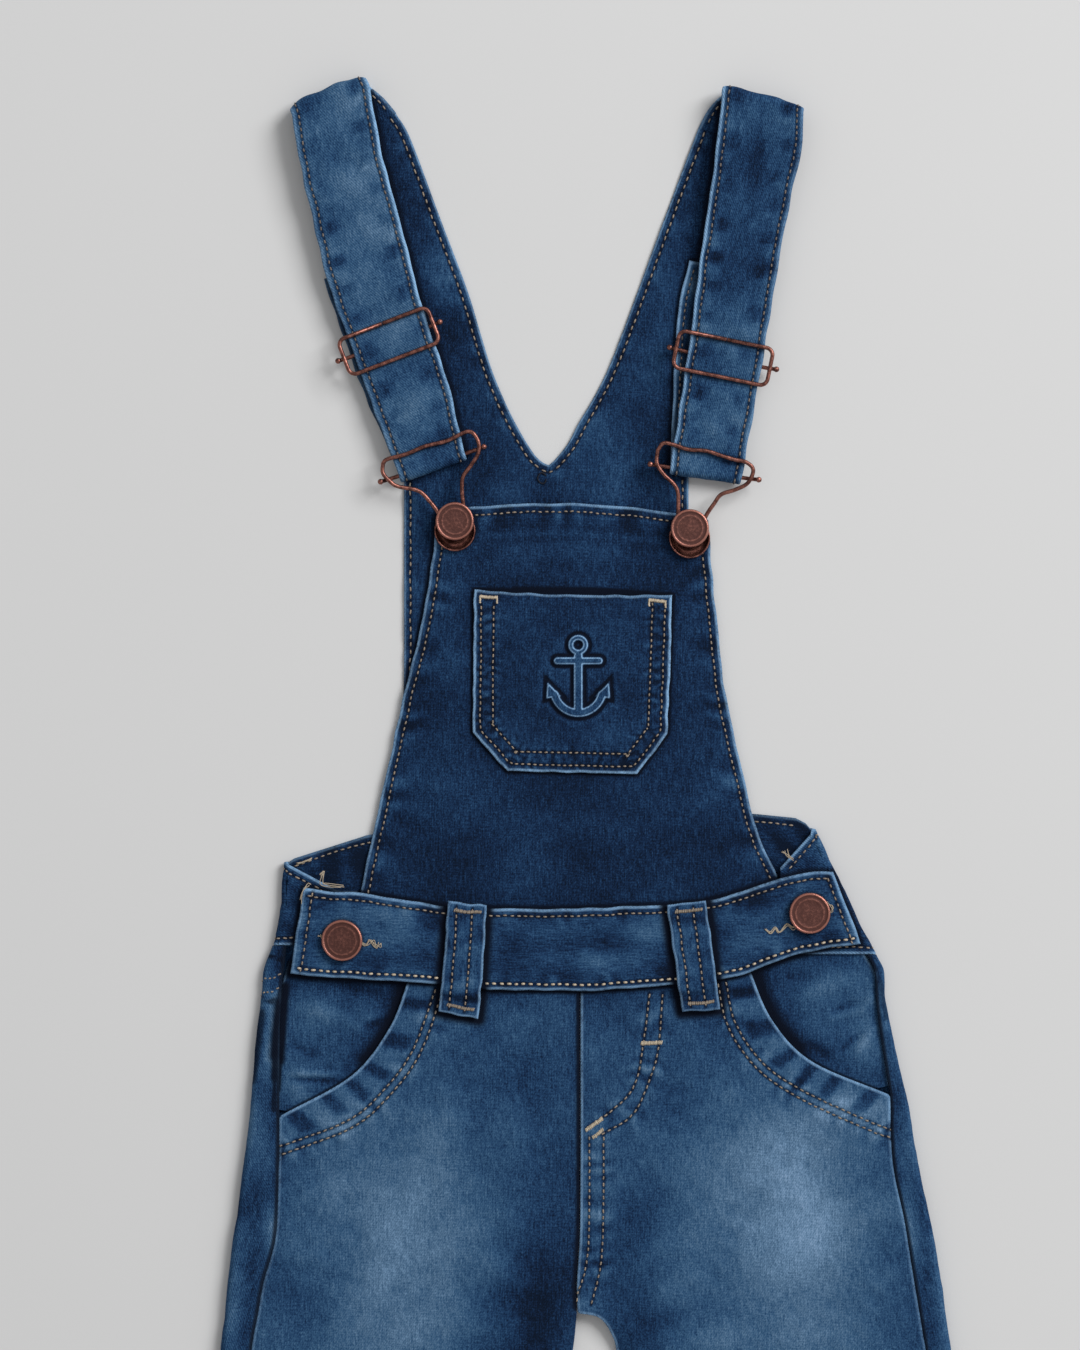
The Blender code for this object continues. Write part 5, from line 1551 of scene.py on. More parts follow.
def anchor_distance(x, y):
    """Distance outside the anchor: ring, stock, shank, a curved arm and two pointed flukes."""
    x = np.abs(x - ANCHOR_AT[0])
    y = y - (ANCHOR_AT[1] - ANCHOR_HEIGHT / 2)
    top = ANCHOR_HEIGHT
    ring = np.abs(np.hypot(x, y - (top - ANCHOR_RING - ANCHOR_RING_BAR)) - ANCHOR_RING)
    ring = ring - ANCHOR_RING_BAR
    stock_y = top - ANCHOR_STOCK_AT
    stock = bar_distance(x, y, [(0, stock_y), (ANCHOR_STOCK[0], stock_y)], ANCHOR_STOCK[1])
    shank = bar_distance(x, y, [(0, 2.0), (0, top - 2 * ANCHOR_RING - 2.4)], ANCHOR_BAR)
    centre_y = ANCHOR_ARM + ANCHOR_ARM_BAR
    turn = np.radians(np.linspace(-90, -14, 16))
    arm_path = [(ANCHOR_ARM * math.cos(a), centre_y + ANCHOR_ARM * math.sin(a)) for a in turn]
    arm = bar_distance(x, y, arm_path, ANCHOR_ARM_BAR)
    fluke = triangle_distance(x, y, ANCHOR_FLUKES)
    return np.minimum.reduce([ring, stock, shank, arm, fluke])


def triangle_distance(x, y, corners):
    """Signed distance to a triangle's lines, the largest of the three."""
    far = np.full_like(x, -1e9)
    middle = np.mean(corners, axis=0)
    for (ax, ay), (bx, by) in zip(corners, corners[1:] + corners[:1]):
        nx, ny = by - ay, ax - bx
        size = math.hypot(nx, ny)
        nx, ny = nx / size, ny / size
        if (middle[0] - ax) * nx + (middle[1] - ay) * ny > 0:
            nx, ny = -nx, -ny
        far = np.maximum(far, (x - ax) * nx + (y - ay) * ny)
    return far


def bib_pocket():
    """Patch pocket on the bib's own heights, with two sewn rows and the pressed anchor."""
    plan = bowed(even_rows(pocket_rows(), POCKET_CELL), POCKET_CELL)
    x, y = plan[..., 0], plan[..., 1]
    mid_x = (plan[:, :1, 0] + plan[:, -1:, 0]) / 2
    half = (plan[:, -1:, 0] - plan[:, :1, 0]) / 2
    puff = POCKET_PUFF * (1 - ((x - mid_x) / half) ** 2) * smoothstep((y - 222) / 20)
    puff *= smoothstep((299 - y) / 12)
    under = bib_height(x, y) + SEAM
    base = np.dstack([plan, under + CLOTH + puff])
    wear = (0.5, 1.0, 1.0, 1.0)
    panel = Panel(base, plan, CLOTH, outline_of(plan, "start left end right"), wear)
    panel.wobble(0.13, 11.0, 8)
    panel.fade += POCKET_TONE + 0.03 * waves(x, y, 35, 77)
    panel.soften(24.0, 0.10, 47)
    outline = resampled(closed(pocket_rows())[:-1], 1.5)
    rows = [beside(outline, 3.0), beside(outline, 8.2)]
    rows = [row[row[:, 1] < 294.5] for row in rows]
    for row in rows:
        panel.row(row, wave=4.4, reach=2.3, pucker=0.2)
    # Puckers between the rows: painted light on their ridges and painted shade in their troughs, and
    # a little darker along the band between the rows
    between_rows, along = path_distance(plan, beside(outline, 5.6))
    pulled = np.sin(along * RIPPLE / 5.2 + np.sin(along / 9.0))
    panel.fade += (0.13 * pulled - 0.07) * bell(between_rows / 1.6)
    panel.relief += 0.12 * pulled * bell(between_rows / 1.6)
    far = anchor_distance(x, y)
    body = smoothstep((0.4 - far) / 0.8)
    moat = bell((far - 1.0) / 0.75)
    panel.relief += ANCHOR_RAISED * body - ANCHOR_MOAT * moat
    panel.fade += 0.05 * body + 0.08 * bell((far - 2.8) / 0.9)
    panel.badge = far
    panel.finish_surface(0.0)
    put_cloth("chest_pocket", panel, ["bib_pocket", "pocket_anchor"])
    sew_rows(panel, rows, "thread_pocket", 2.5)
    for start, end in (((-40.0, 296.3), (-33.2, 296.0)), ((29.8, 294.8), (36.6, 294.4))):
        tack(panel, start, end, "thread_tacks", 1.5)
        for corner in (start, end):
            tack(panel, corner, (corner[0], corner[1] - 2.4), "thread_tacks", 0.9)


def front_waistband():
    """Front band, thick in its middle, with a sewn row along each of its four edges."""
    rows = even_rows(through(FRONT_BAND, 10)[:, [2, 3, 0, 1]], CELL)
    plan = laid_plan(rows, CELL)
    x, y = plan[..., 0], plan[..., 1]
    base = np.dstack([plan, BAND_TOP + 0 * x])
    panel = Panel(base, plan, BAND_CLOTH, outline_of(plan), 0.62, 1.15)
    panel.wobble(0.12, 15.0, 12)
    middle = 1 - np.abs(np.linspace(-1, 1, plan.shape[1]))[None, :]
    panel.fade += BAND_TONE + 0.08 * waves(x * 0.7, y * 1.6, 26, 81) + fades(x, y, BAND_FADES)
    panel.fade += 0.10 * bell((middle - 0.75) / 0.35)
    for end, reach in ((plan[0], 3.4), (plan[-1], 2.2)):
        panel.fade += 0.28 * smoothstep((reach - distance(plan, end)) / 1.6)
    panel.relief += 0.25 * smoothstep(middle * 3) + folds(x, y, BAND_FOLDS)
    for outline in LOOP_OUTLINES:
        panel.shade(outline, 0.99, 3.3, 0.04)
    for place in WAIST_BUTTONS.values():
        panel.shade(circle(place, 7.8), 0.6, 1.4)
    panel.soften(22.0, 0.12, 83)
    top_row = beside(resampled(plan[:, -1], 2.0), -3.0)[1:-1]
    low_row = beside(resampled(plan[:, 0], 2.0), 2.6)[1:-1]
    left_end = beside(plan[0][::-1], 4.3)[3:-3]
    right_end = beside(plan[-1], 3.2)[3:-3]
    for path, pucker in ((top_row, 0.14), (low_row, 0.16), (left_end, 0.1), (right_end, 0.1)):
        panel.row(path, pucker=pucker, wave=10.0)
    panel.finish_surface()
    put_cloth(
        "front_waistband", panel, ["waistband_front"],
        turn_weave=True,
    )
    sew(panel, low_row, "thread_waist_low", 3.0, 0.42)
    sew_rows(panel, (top_row, left_end, right_end), "thread_waist", 2.8)


def belt_loop(side, table):
    """Belt loop over the band and down onto the leg, dark under its two tacks."""
    rows = even_rows(through(table, 12), LOOP_CELL)
    plan = laid_plan(rows, LOOP_CELL)
    x, y = plan[..., 0], plan[..., 1]
    base = np.dstack([plan, rows[:, 4:5] + LOOP_CLOTH + 0 * x])
    panel = Panel(base, plan, LOOP_CLOTH, outline_of(plan), 0.52, 0.9)
    panel.wobble(0.14, 10.0, 14 if side == "left" else 19)
    panel.fade += LOOP_TONE + 0.08 * waves(x, y, 14, 91)
    panel.fade -= 0.22 * bell((y - rows[0, 1] + 5.5) / 2.0)
    panel.fade -= 0.22 * bell((y - rows[-1, 1] - 5.5) / 2.0)
    left, right = plan[:, 0], plan[:, -1]
    paths = [(left + (right - left) * share)[4:-4] for share in LOOP_ROWS]
    for path in paths:
        panel.row(path, pucker=0.1, reach=3.0, wave=8.0)
    panel.finish_surface()
    put_cloth(f"loop_{side}", panel, [f"belt_loop_{side}"])
    sew_rows(panel, paths, "thread_loops", 2.6)
    for row in (6, -7):
        start, end = (left[row] * (1 - share) + right[row] * share for share in LOOP_TACKS)
        tack(panel, start, end, "thread_loop_tacks", 1.5)


# Rows of the Y-shaped back up to the foot of its neck and above it, and its centre line
NECK_ROW = 100
ARM_ROWS = 128
YOKE_CENTRE = [(-11.7, y) for y in (204.0, 240.0, 275.0, 310.0, BACK_BIB_NECK_LEFT[0][1])]
YOKE_CELL = 1.5


def yoke_half(outer, neck):
    """Rows between an outer edge and the centre line and neck, parted at the neck's foot."""
    inner = np.concatenate([through(YOKE_CENTRE, 10), neck[1:]])
    low, high = np.linspace(0, 1, NECK_ROW + 1), np.linspace(1, 2, ARM_ROWS + 1)
    at = np.concatenate([low, high[1:]])
    columns = []
    for path in (outer, inner):
        whole = lengths(path)
        split = np.interp(neck[0][1], path[:, 1], whole)
        place = np.where(at < 1, at * split, split + (at - 1) * (whole[-1] - split))
        columns += [np.interp(place, whole, path[:, k]) for k in (0, 1)]
    return np.column_stack(columns)


def yoke_panel(rows, edges):
    """Half of the Y-shaped back, flat on the floor, shaded where the bib and straps lie."""
    count = int(np.linalg.norm(rows[:, 2:4] - rows[:, :2], axis=1).max() / YOKE_CELL)
    share = np.concatenate([np.linspace(0, 1, count + 1), [0.003, 0.009, 0.991, 0.997]])
    share = np.sort(share)[None, :, None]
    plan = rows[:, None, 0:2] * (1 - share) + rows[:, None, 2:4] * share
    x, y = plan[..., 0], plan[..., 1]
    panel = Panel(np.dstack([plan, CLOTH + 0 * x]), plan, CLOTH, edges, 0.5, 0.8)
    panel.fade += BACK_BIB_TONE + 0.05 * waves(x, y, 45, 61) + fades(x, y, BACK_BIB_FADES)
    panel.shade(BIB_OUTLINE, 0.85, 1.7, 0.08)
    for outline in STRAP_OUTLINES:
        panel.shade(outline, 0.85, 2.0, 0.12)
    for outline in RETURN_OUTLINES:
        panel.shade(outline, 0.7, 1.4, 0.05)
    panel.relief += np.maximum(folds(x, y, BACK_BIB_FOLDS), -0.25)
    panel.soften(28.0, 0.10, 63)
    return panel


def back_yoke():
    """Y-shaped back, inside out to the viewer: two halves sharing the points of their seam."""
    left_outer, left_neck = through(BACK_BIB_LEFT, 10), through(BACK_BIB_NECK_LEFT, 10)
    right_outer, right_neck = through(BACK_BIB_RIGHT, 10), through(BACK_BIB_NECK_RIGHT, 10)
    neck = np.concatenate([left_neck[::-1], right_neck[1:]])
    edges = [neck, left_outer, right_outer]
    neck_row = beside(resampled(neck, 1.5), -3.0)
    outer_rows = [
        beside(resampled(left_outer, 2.0), -2.6), beside(resampled(right_outer, 2.0), 2.6),
    ]
    halves = ((left_outer, left_neck), (right_outer, right_neck))
    panels = [yoke_panel(yoke_half(*half), edges) for half in halves]
    for panel in panels:
        for path in (neck_row, *outer_rows):
            panel.seed = 5
            panel.row(path, pucker=0.12, wave=13.0)
        panel.finish_surface(0.0)
    left, right = panels
    seam = slice(0, NECK_ROW + 1)
    for one, other in ((left.outer, right.outer), (left.inner, right.inner)):
        one[seam, -1] = other[seam, -1] = (one[seam, -1] + other[seam, -1]) / 2
    points, groups = left.mesh_parts(NECK_ROW)
    more, faces = right.mesh_parts(NECK_ROW)
    joined = np.arange(len(more)) + len(points)
    for layer in (0, 1):
        mine, theirs = (
            layer * half.rim.size + (np.arange(NECK_ROW + 1) + 1) * half.rim.shape[1] - 1
            for half in panels
        )
        joined[theirs] = mine
    groups += [joined[f] for f in faces]
    used = np.concatenate([np.arange(len(points)), joined[joined >= len(points)]])
    place = np.zeros(len(points) + len(more), np.int64)
    place[used] = np.arange(len(used))
    groups = [place[g] for g in groups]
    uv = np.concatenate([cloth_uv(left), cloth_uv(right)])[used]
    first, second = left.attributes(), right.attributes()
    merged = {key: np.concatenate([first[key], second[key]])[used] for key in first}
    points = np.concatenate([points, more])[used]
    piece = new_mesh("back_yoke", points, groups, DENIM, uv, merged)
    declare(piece, panels, ["back_bib"])
    tip = int(np.argmin(neck_row[:, 1]))
    for panel, outer_row in zip(panels, outer_rows):
        sew(panel, outer_row, "thread_back", 3.3)
    sew(left, neck_row[: tip + 1], "thread_back", 3.3)
    sew(right, neck_row[tip:], "thread_back", 3.3)


def back_waistband():
    """Back band: flat on the floor, both ends wrapped over to the front."""
    shares = cell_lines([1.0], 34, (0.0, 0.004, 0.012, 0.024))[0]
    table = np.array(BACK_BAND_SIDES)
    left = np.interp(shares, table[:, 0], table[:, 1])
    right = np.interp(shares, table[:, 0], table[:, 2])
    radius = WAIST_LIFT / 2
    angle = np.linspace(0, math.pi, 13)
    wrap_share = np.concatenate([[1.0, 0.99, 0.97], np.linspace(0.93, 0.04, 18)])
    floor_share = np.linspace(0, 1, 110)[1:-1]
    section_in = radius * (1 - np.sin(angle))
    section_up = radius * (1 + np.cos(angle))
    same = np.ones((len(shares), 1))
    wraps = [
        np.concatenate([np.maximum(run[:, None] * wrap_share, radius), same * section_in], axis=1)
        for run in (BACK_BAND_ENDS[0] - left, right - BACK_BAND_ENDS[1])
    ]
    left_x = left[:, None] + wraps[0]
    right_x = (right[:, None] - wraps[1])[:, ::-1]
    floor_x = (left + radius)[:, None] + (right - left - 2 * radius)[:, None] * floor_share
    x = np.concatenate([left_x, floor_x, right_x], axis=1)
    section = same * np.concatenate([np.full(len(wrap_share), WAIST_LIFT), section_up])
    up = np.concatenate([section, 0 * floor_x, section[:, ::-1]], axis=1)
    ends = len(wrap_share) + len(angle)
    level = np.arange(x.shape[1])[None, :]
    on_left, on_right = level < ends, level >= x.shape[1] - ends
    low_y, top_y = (
        np.where(on_left, heights[0], np.where(on_right, heights[-1], np.interp(x, places, heights)))
        for places, heights in (
            (BACK_BAND_LOW_X, BACK_BAND_LOW_Y), (BACK_BAND_TOP_X, BACK_BAND_TOP_Y),
        )
    )
    on_top = len(wrap_share) + 1
    slope, most = BACK_BAND_DROP_LEFT
    drop = np.where(level < on_top, np.minimum(slope * (x - left[:, None]), most), 0.0)
    slope, most = BACK_BAND_DROP_RIGHT
    from_right = right[:, None] - x
    drop = np.where(level >= x.shape[1] - on_top, np.minimum(slope * from_right, most), drop)
    y = low_y + (top_y - low_y - drop) * shares[:, None]
    base = np.dstack([x, y, up])
    across = girth(base)
    rightward = np.interp(level, [ends, x.shape[1] - ends], [0.0, 1.0])
    across = across + rightward * (across[:, -1:].mean() - across[:, -1:])
    flat = np.dstack([across, y])
    panel = Panel(base, flat, CLOTH, outline_of(flat, "start end"), 0.62, up_at=(5, 0))
    # Its inner side is drawn darker still: painted shade inside the band's wrapped ends
    panel.inside = 0.28
    panel.fade += BACK_BAND_TONE + 0.08 * waves(across * 1.6, y, 22, 15)
    panel.fade += 0.08 * (level > x.shape[1] - ends)
    panel.shade(BAND_OUTLINE, 0.9, 1.7, 0.10)
    panel.shade(BIB_OUTLINE, 0.9, 1.7, 0.10)
    panel.soften(20.0, 0.10, 17)
    rows = [beside(flat[-1], -3.0)[3:-3], beside(flat[0], 3.0)[3:-3]]
    for path in rows:
        panel.row(resampled(path, 3.0), pucker=0.1)
    panel.finish_surface(0.0, off_floor(panel))
    put_cloth("back_waistband", panel, ["waistband_back"], turn_weave=True)
    sew_rows(panel, rows, "thread_back", 2.9)


# Straps: run under the shoulder fold, how round the fold is, and seeds of their draws
FOLD_BULGE = {"left": 1.0, "right": 0.5}
STRAP_SEEDS = {"left": 101, "right": 107}
STRAP_ROW_INSET = 2.7
TAIL_BEND = {"left": (-111.3, 489.0, -80.4, 503.4), "right": (55.2, 499.4, 87.2, 489.8)}

# Faded places and soft folds of the straps, x across and y along from the shoulder fold
STRAP_FADES = {
    "left": (
        (22, 40, 9, 26, 0.05), (14, 14, 10, 10, -0.05),
        (16, 118, 12, 8, -0.06),
    ),
    "right": (
        (18, 30, 4, 20, -0.16), (10, 70, 5, 12, -0.06), (24, 62, 5, 16, -0.10),
        (16, 94, 12, 12, 0.08), (16, 134, 12, 12, 0.10), (8, 12, 8, 10, 0.08),
    ),
}
STRAP_FOLDS = {
    "left": (
        (6, 60, 26, 50, 3, 0.3), (4, 92, 24, 84, 2.6, -0.25),
        (8, 138, 24, 126, 2.6, 0.3), (10, 22, 26, 30, 3, -0.25),
    ),
    "right": (
        (6, 96, 26, 110, 2.6, 0.35), (8, 86, 28, 100, 2, 0.25),
        (8, 130, 26, 146, 2.6, 0.35), (6, 64, 18, 76, 2.4, 0.3),
        (20, 10, 14, 34, 3, -0.3), (6, 118, 24, 124, 2.4, 0.25),
    ),
}


def folded_over(row, low, high, count, bulge=1.0):
    """Rows round half an ellipse from the low layer to the high one, bulging past the row."""
    left, right = np.array(row[:2]), np.array(row[2:4])
    along = (right - left) / np.linalg.norm(right - left)
    out = np.array([-along[1], along[0]])
    radius = abs(high - low) / 2
    rows = []
    for angle in np.linspace(0, math.pi, count + 1)[1:-1]:
        push = bulge * radius * math.sin(angle) * out
        z = low + (high - low) * (1 - math.cos(angle)) / 2
        rows.append([*(left + push), *(right + push), z])
    return rows


def strap(side, tail, front, back):
    """Strap along its length: under the shoulder fold, down the front, round the bar and back."""
    shoulder, end, seed = front[0], front[-1], STRAP_SEEDS[side]
    floor = STRAP_CLOTH / 2
    turned_row = (end[2], end[3], end[0], end[1])
    bend = [
        [r[2], r[3], r[0], r[1], r[4]]
        for r in folded_over(turned_row, STRAP_HIGH, STRAP_LOW, 14)
    ]
    rows = through([[*tail, floor], [*TAIL_BEND[side], floor], [*shoulder[:4], floor]], 8).tolist()
    rows += folded_over(shoulder, floor, STRAP_FOLD_TOP, 20, FOLD_BULGE[side])
    front_at = len(rows)
    rows = np.array(rows + through(front, 14).tolist() + bend + through(back, 14).tolist())
    at = lengths((rows[:, [0, 1, 4]] + rows[:, [2, 3, 4]]) / 2)
    front_start, front_end = at[front_at], at[front_at + 14 * (len(front) - 1)]
    places = cell_lines([at[-1]], int(at[-1] / 1.1))[0]
    rows = np.column_stack([np.interp(places, at, rows[:, k]) for k in range(5)])
    left, right = rows[:, [0, 1, 4]], rows[:, [2, 3, 4]]
    width = np.linalg.norm(right - left, axis=1)
    share = (cell_lines(width, 30) / width[:, None])[..., None]
    grid = left[:, None] * (1 - share) + right[:, None] * share
    normal = normals(grid)
    reference = int(np.argmin(np.abs(places - (front_start + front_end) / 2)))
    if normal[reference, 10, 2] < 0:
        normal = -normal
    a = share[..., 0] * width[:, None]
    s = places[:, None] + 0 * a
    down = s - front_start
    flat = np.dstack([a, s])
    base = grid + normal * STRAP_CLOTH / 2
    wear = (1.0, 0.5, 0.35) if side == "left" else (0.35, 0.5, 1.0)
    edges = outline_of(flat, "right end left")
    panel = Panel(base, flat, STRAP_CLOTH, edges, wear, 1.2, (reference, 10))
    panel.thickness = STRAP_CLOTH - (STRAP_CLOTH - CLOTH) * smoothstep(1 - s / 9)
    wide = width[:, None] + 0 * a
    tone, paler = STRAP_TONE[side]
    panel.fade += tone + paler * smoothstep((down - 70) / 40) + 0.05 * waves(a, s, 30, seed)
    edge_gap = np.minimum(a, wide - a)
    other = np.where(a < wide / 2, 0.0, 2.2)
    blot = np.sin(s * RIPPLE / 15.0 + seed + 1.5 * np.sin(s / 17.0 + other) + other)
    blot = smoothstep(blot * 1.2) * (0.75 + 0.25 * np.sin(s / 11.0 + 2 * other))
    panel.fade -= 0.27 * blot * bell((edge_gap - 6.5) / 3.3)
    tail_end = smoothstep((front_start - 13 - s) / 6)
    panel.fade -= tail_end * (panel.fade - STRAP_TAIL_TONE)
    panel.worn *= 1 - 0.5 * tail_end
    panel.inside_line = 0.15
    # Painted shadow on the tail and on the return run, where they lie under the front run
    behind = (tail_end > 0.2) | (s > front_end + 6)
    gap = distance(panel.base[..., :2], closed(through(front, 8)))
    panel.near = np.where(behind, gap / 1.9, panel.near)
    panel.deep = np.where(behind, 0.6 + 0.3 * tail_end, panel.deep)
    fold = bell((s - (front_start - 6.7)) / 5.5)
    along = np.array(shoulder[2:4]) - shoulder[0:2]
    out = np.array([-along[1], along[0]]) / np.linalg.norm(along)
    push = fold * (0.5 * waves(a, 0 * a, 12, seed + 9) - 1.7 * bell(edge_gap / 1.8))
    panel.base[..., :2] += push[..., None] * out
    panel.wobble(0.14, 15.0, seed + 40)
    panel.fade += fades(a, down, STRAP_FADES[side])
    panel.relief += folds(a, down, STRAP_FOLDS[side])
    panel.soften(26.0, 0.14, seed + 3)
    panel.shade(slider_path(side), 0.55, 1.2)
    panel.shade([p[:2] for p in BUCKLES[side]], 0.55, 1.2)
    sewn = (places > 2) & (places < at[-1] - 3)
    near_edges = (STRAP_ROW_INSET + 0 * width, width - STRAP_ROW_INSET)
    paths = [np.column_stack([inset, places])[sewn] for inset in near_edges]
    for path in paths:
        panel.row(resampled(path, 4.0), pucker=0.13, wave=15.0, reach=4.5)
    panel.finish_surface()
    put_cloth(f"strap_cloth_{side}", panel, [f"strap_{side}"])
    for path in paths:
        sew(panel, path, "thread_straps", 2.8)
        sew(panel, path[path[:, 1] < front_start - 4], "thread_back", 3.1, THREAD, True)
        sew(panel, path[path[:, 1] > front_end + 9], "thread_straps", 2.8, THREAD, True)


# Metal fittings

def wire_mesh(name, path, closed, sides, knob=0.0):
    """Round copper wire along a path, swollen near both ends by a bell of height knob."""
    path = np.array(path, float)
    at = lengths(path)
    swell = 1 + knob * bell((at - 0.9) / 0.8) + knob * bell((at[-1] - 0.9 - at) / 0.8)
    points, groups = tube(path, WIRE / 2 * swell, sides, closed)
    return new_mesh(name, points, groups, COPPER)


def fitting(piece, node):
    """Rides a hard piece on the body in place of its plain solid."""
    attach(piece, "root")
    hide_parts(node)


def arc(middle, radius, start, end, count):
    """Points of a round corner, its angles in degrees."""
    angles = np.radians(np.linspace(start, end, count))
    return [(middle[0] + radius * math.cos(a), middle[1] + radius * math.sin(a)) for a in angles]


def bar(name, start, end, frame_out, node):
    """Bar under a strap, curled round the frame's wire by BAR_CURL at both ends."""
    start, end = np.array(start, float), np.array(end, float)
    along = (end - start) / np.linalg.norm(end - start)
    path = [[*(start - along * (frame_out[0] + step)), height] for step, height in BAR_CURL]
    path += [[*((start + end) / 2), BAR_HEIGHT]]
    path += [[*(end + along * (frame_out[1] + step)), height] for step, height in BAR_CURL[::-1]]
    fitting(wire_mesh(name, through(path, 8), False, 12, 0.45), node)


def slider(side):
    """Slider: a wire round four corners, its ends meeting at the top, and its bar."""
    middle = np.array(SLIDERS[side][:2])
    turn = math.radians(SLIDERS[side][2])
    path = slider_path(side)
    path = np.column_stack([path, np.full(len(path), FRAME_HEIGHT)])
    first, last = path[8], path[9]
    joint = (first + last) / 2
    half_gap = (last - first) / np.linalg.norm(last - first) * SLIDER_JOINT / 2
    path = np.concatenate([[joint + half_gap], path[9:], path[:9], [joint - half_gap]])
    fitting(wire_mesh(f"slider_wire_{side}", path, False, 14), f"slider_{side}")
    reach = np.array([math.cos(turn), math.sin(turn)]) * SLIDER_STRAP_HALF
    out = SLIDER_WIDTH / 2 - SLIDER_STRAP_HALF
    bar(f"slider_pin_{side}", middle - reach, middle + reach, (out, out), f"slider_bar_{side}")


def buckle(side, strap_end):
    """Buckle: a closed wire round the button, its bar in the strap's turn, and its cup."""
    path = through(BUCKLES[side] + BUCKLES[side][:1], 8)[:-1]
    fitting(wire_mesh(f"buckle_wire_{side}", path, True, 12), f"buckle_{side}")
    out = BUCKLE_BAR_OUT[side]
    bar(f"buckle_pin_{side}", strap_end[:2], strap_end[2:4], out, f"buckle_bar_{side}")
    cup(side)


# Section of the buckles' cup: share of its radius, height above its underside
CUP_SECTION = (
    (0.50, 0.25), (0.72, 0.25), (0.84, 0.5), (0.92, 1.3), (0.95, 2.2), (0.99, 2.45),
    (1.03, 2.2), (1.04, 1.2), (1, 0.3), (0.9, 0), (0.7, 0), (0.50, 0),
)
CUP_ANGLES = (-208, 28)


def cup(side):
    """Stamped half cup below the button: its section turned through part of a circle."""
    x, y = BIB_BUTTONS[side]
    section = [(share * CUP_RADIUS, CUP_LOW + rise) for share, rise in CUP_SECTION]
    points = turned((x, y - CUP_DROP), np.radians(np.linspace(*CUP_ANGLES, 60)), section)
    number = numbered(*points.shape[:2])
    groups = [quads(wrapped(number)), number[:1], number[-1:, ::-1]]
    piece = new_mesh(f"cup_{side}", points.reshape(-1, 3), groups, COPPER)
    fitting(piece, f"buckle_cup_{side}")


def tack_button(name, middle, radius, low, head_low, node, tilt=(0.0, 0.0)):
    """Button turned round its axis: shank, rolled edge, raised rim and a bare dished face."""
    top = head_low + BUTTON_HEAD
    profile = np.array([
        (0.05, low), (BUTTON_SHANK, low), (BUTTON_SHANK, head_low), (radius - 1.2, head_low),
        (radius - 0.35, head_low + 0.12), (radius, head_low + 0.55), (radius + 0.02, head_low + 1.2),
        (radius - 0.06, top - 0.55), (radius - 0.22, top - 0.22), (radius - 0.45, top - 0.05),
        (radius - 0.7, top), (radius - 0.95, top - 0.1), (radius - 1.15, top - 0.3),
        (radius - 1.4, top - 0.38), (radius - 2.2, top - 0.34), (radius - 2.5, top - 0.26),
        (radius - 2.8, top - 0.26), (radius - 3.1, top - 0.34), (radius * 0.45, top - 0.28),
        (radius * 0.2, top - 0.22), (0.05, top - 0.2),
    ])
    worn = np.array([
        0.2, 0.2, 0.2, 0.4, 0.7, 0.9, 0.9, 0.9, 1.0, 1.1, 1.0, 0.7, 0.3, 0.15, 0.3, 0.55, 0.55, 0.3,
        0.35, 0.4, 0.4,
    ])
    points = turned(middle, np.linspace(0, 2 * math.pi, 72, endpoint=False), profile)
    lean = np.sum((points[..., :2] - middle) * tilt, axis=-1)
    points[..., 2] += lean * (points[..., 2] > low + 0.01)
    number = numbered(*points.shape[:2])
    ring = np.concatenate([number, number[:1]], axis=0)
    groups = [quads(ring)[:, ::-1], number[:, 0][None, ::-1], number[:, -1][None, :]]
    values = {"worn": np.broadcast_to(worn[None, :], number.shape)}
    piece = new_mesh(name, points.reshape(-1, 3), groups, PATINA, None, values)
    fitting(piece, node)


def build_cloth():
    """All cloth pieces, from the floor up."""
    leg_back("left", BACK_LEFT_TOP, LEG_LEFT_HIP, LEG_LEFT_LOW)
    leg_back("right", BACK_RIGHT_TOP, LEG_RIGHT_HIP, LEG_RIGHT_LOW)
    back_yoke()
    back_waistband()
    hip_cloth("left", HIP_LEFT, HIP_FOLDS_LEFT)
    hip_cloth("right", HIP_RIGHT, HIP_FOLDS_RIGHT)
    leg_front("left", MOUTH_LEFT, LEG_LEFT_HIP, LEG_LEFT_LOW)
    right_leg = leg_front("right", MOUTH_RIGHT, LEG_RIGHT_HIP, LEG_RIGHT_LOW)
    tack(right_leg, (26.6, 111.6), (34.9, 111.8), "thread_tacks", 1.8)
    tack(right_leg, (3.7, 75.6), (10.4, 80.4), "thread_tacks", 1.8)
    tack(right_leg, (6.6, 72.6), (10.6, 75.8), "thread_tacks", 1.6)
    bib_front()
    bib_pocket()
    front_waistband()
    belt_loop("left", LOOP_LEFT)
    belt_loop("right", LOOP_RIGHT)
    strap("left", STRAP_LEFT_TAIL, STRAP_LEFT_FRONT, STRAP_LEFT_RETURN)
    strap("right", STRAP_RIGHT_TAIL, STRAP_RIGHT_FRONT, STRAP_RIGHT_RETURN)


def build_fittings():
    """Sliders, buckles and tack buttons of both sides."""
    for side, front in (("left", STRAP_LEFT_FRONT), ("right", STRAP_RIGHT_FRONT)):
        slider(side)
        buckle(side, front[-1])
        tack_button(
            f"bib_tack_{side}", BIB_BUTTONS[side], BIB_BUTTON_RADIUS, BIB_SHANK_LOW,
            BIB_HEAD_LOW, f"bib_button_{side}",
        )
        tack_button(
            f"waist_tack_{side}", WAIST_BUTTONS[side], WAIST_BUTTON_RADIUS, WAIST_SHANK_LOW,
            WAIST_HEAD_LOW, f"waist_button_{side}", WAIST_BUTTON_TILT[side],
        )


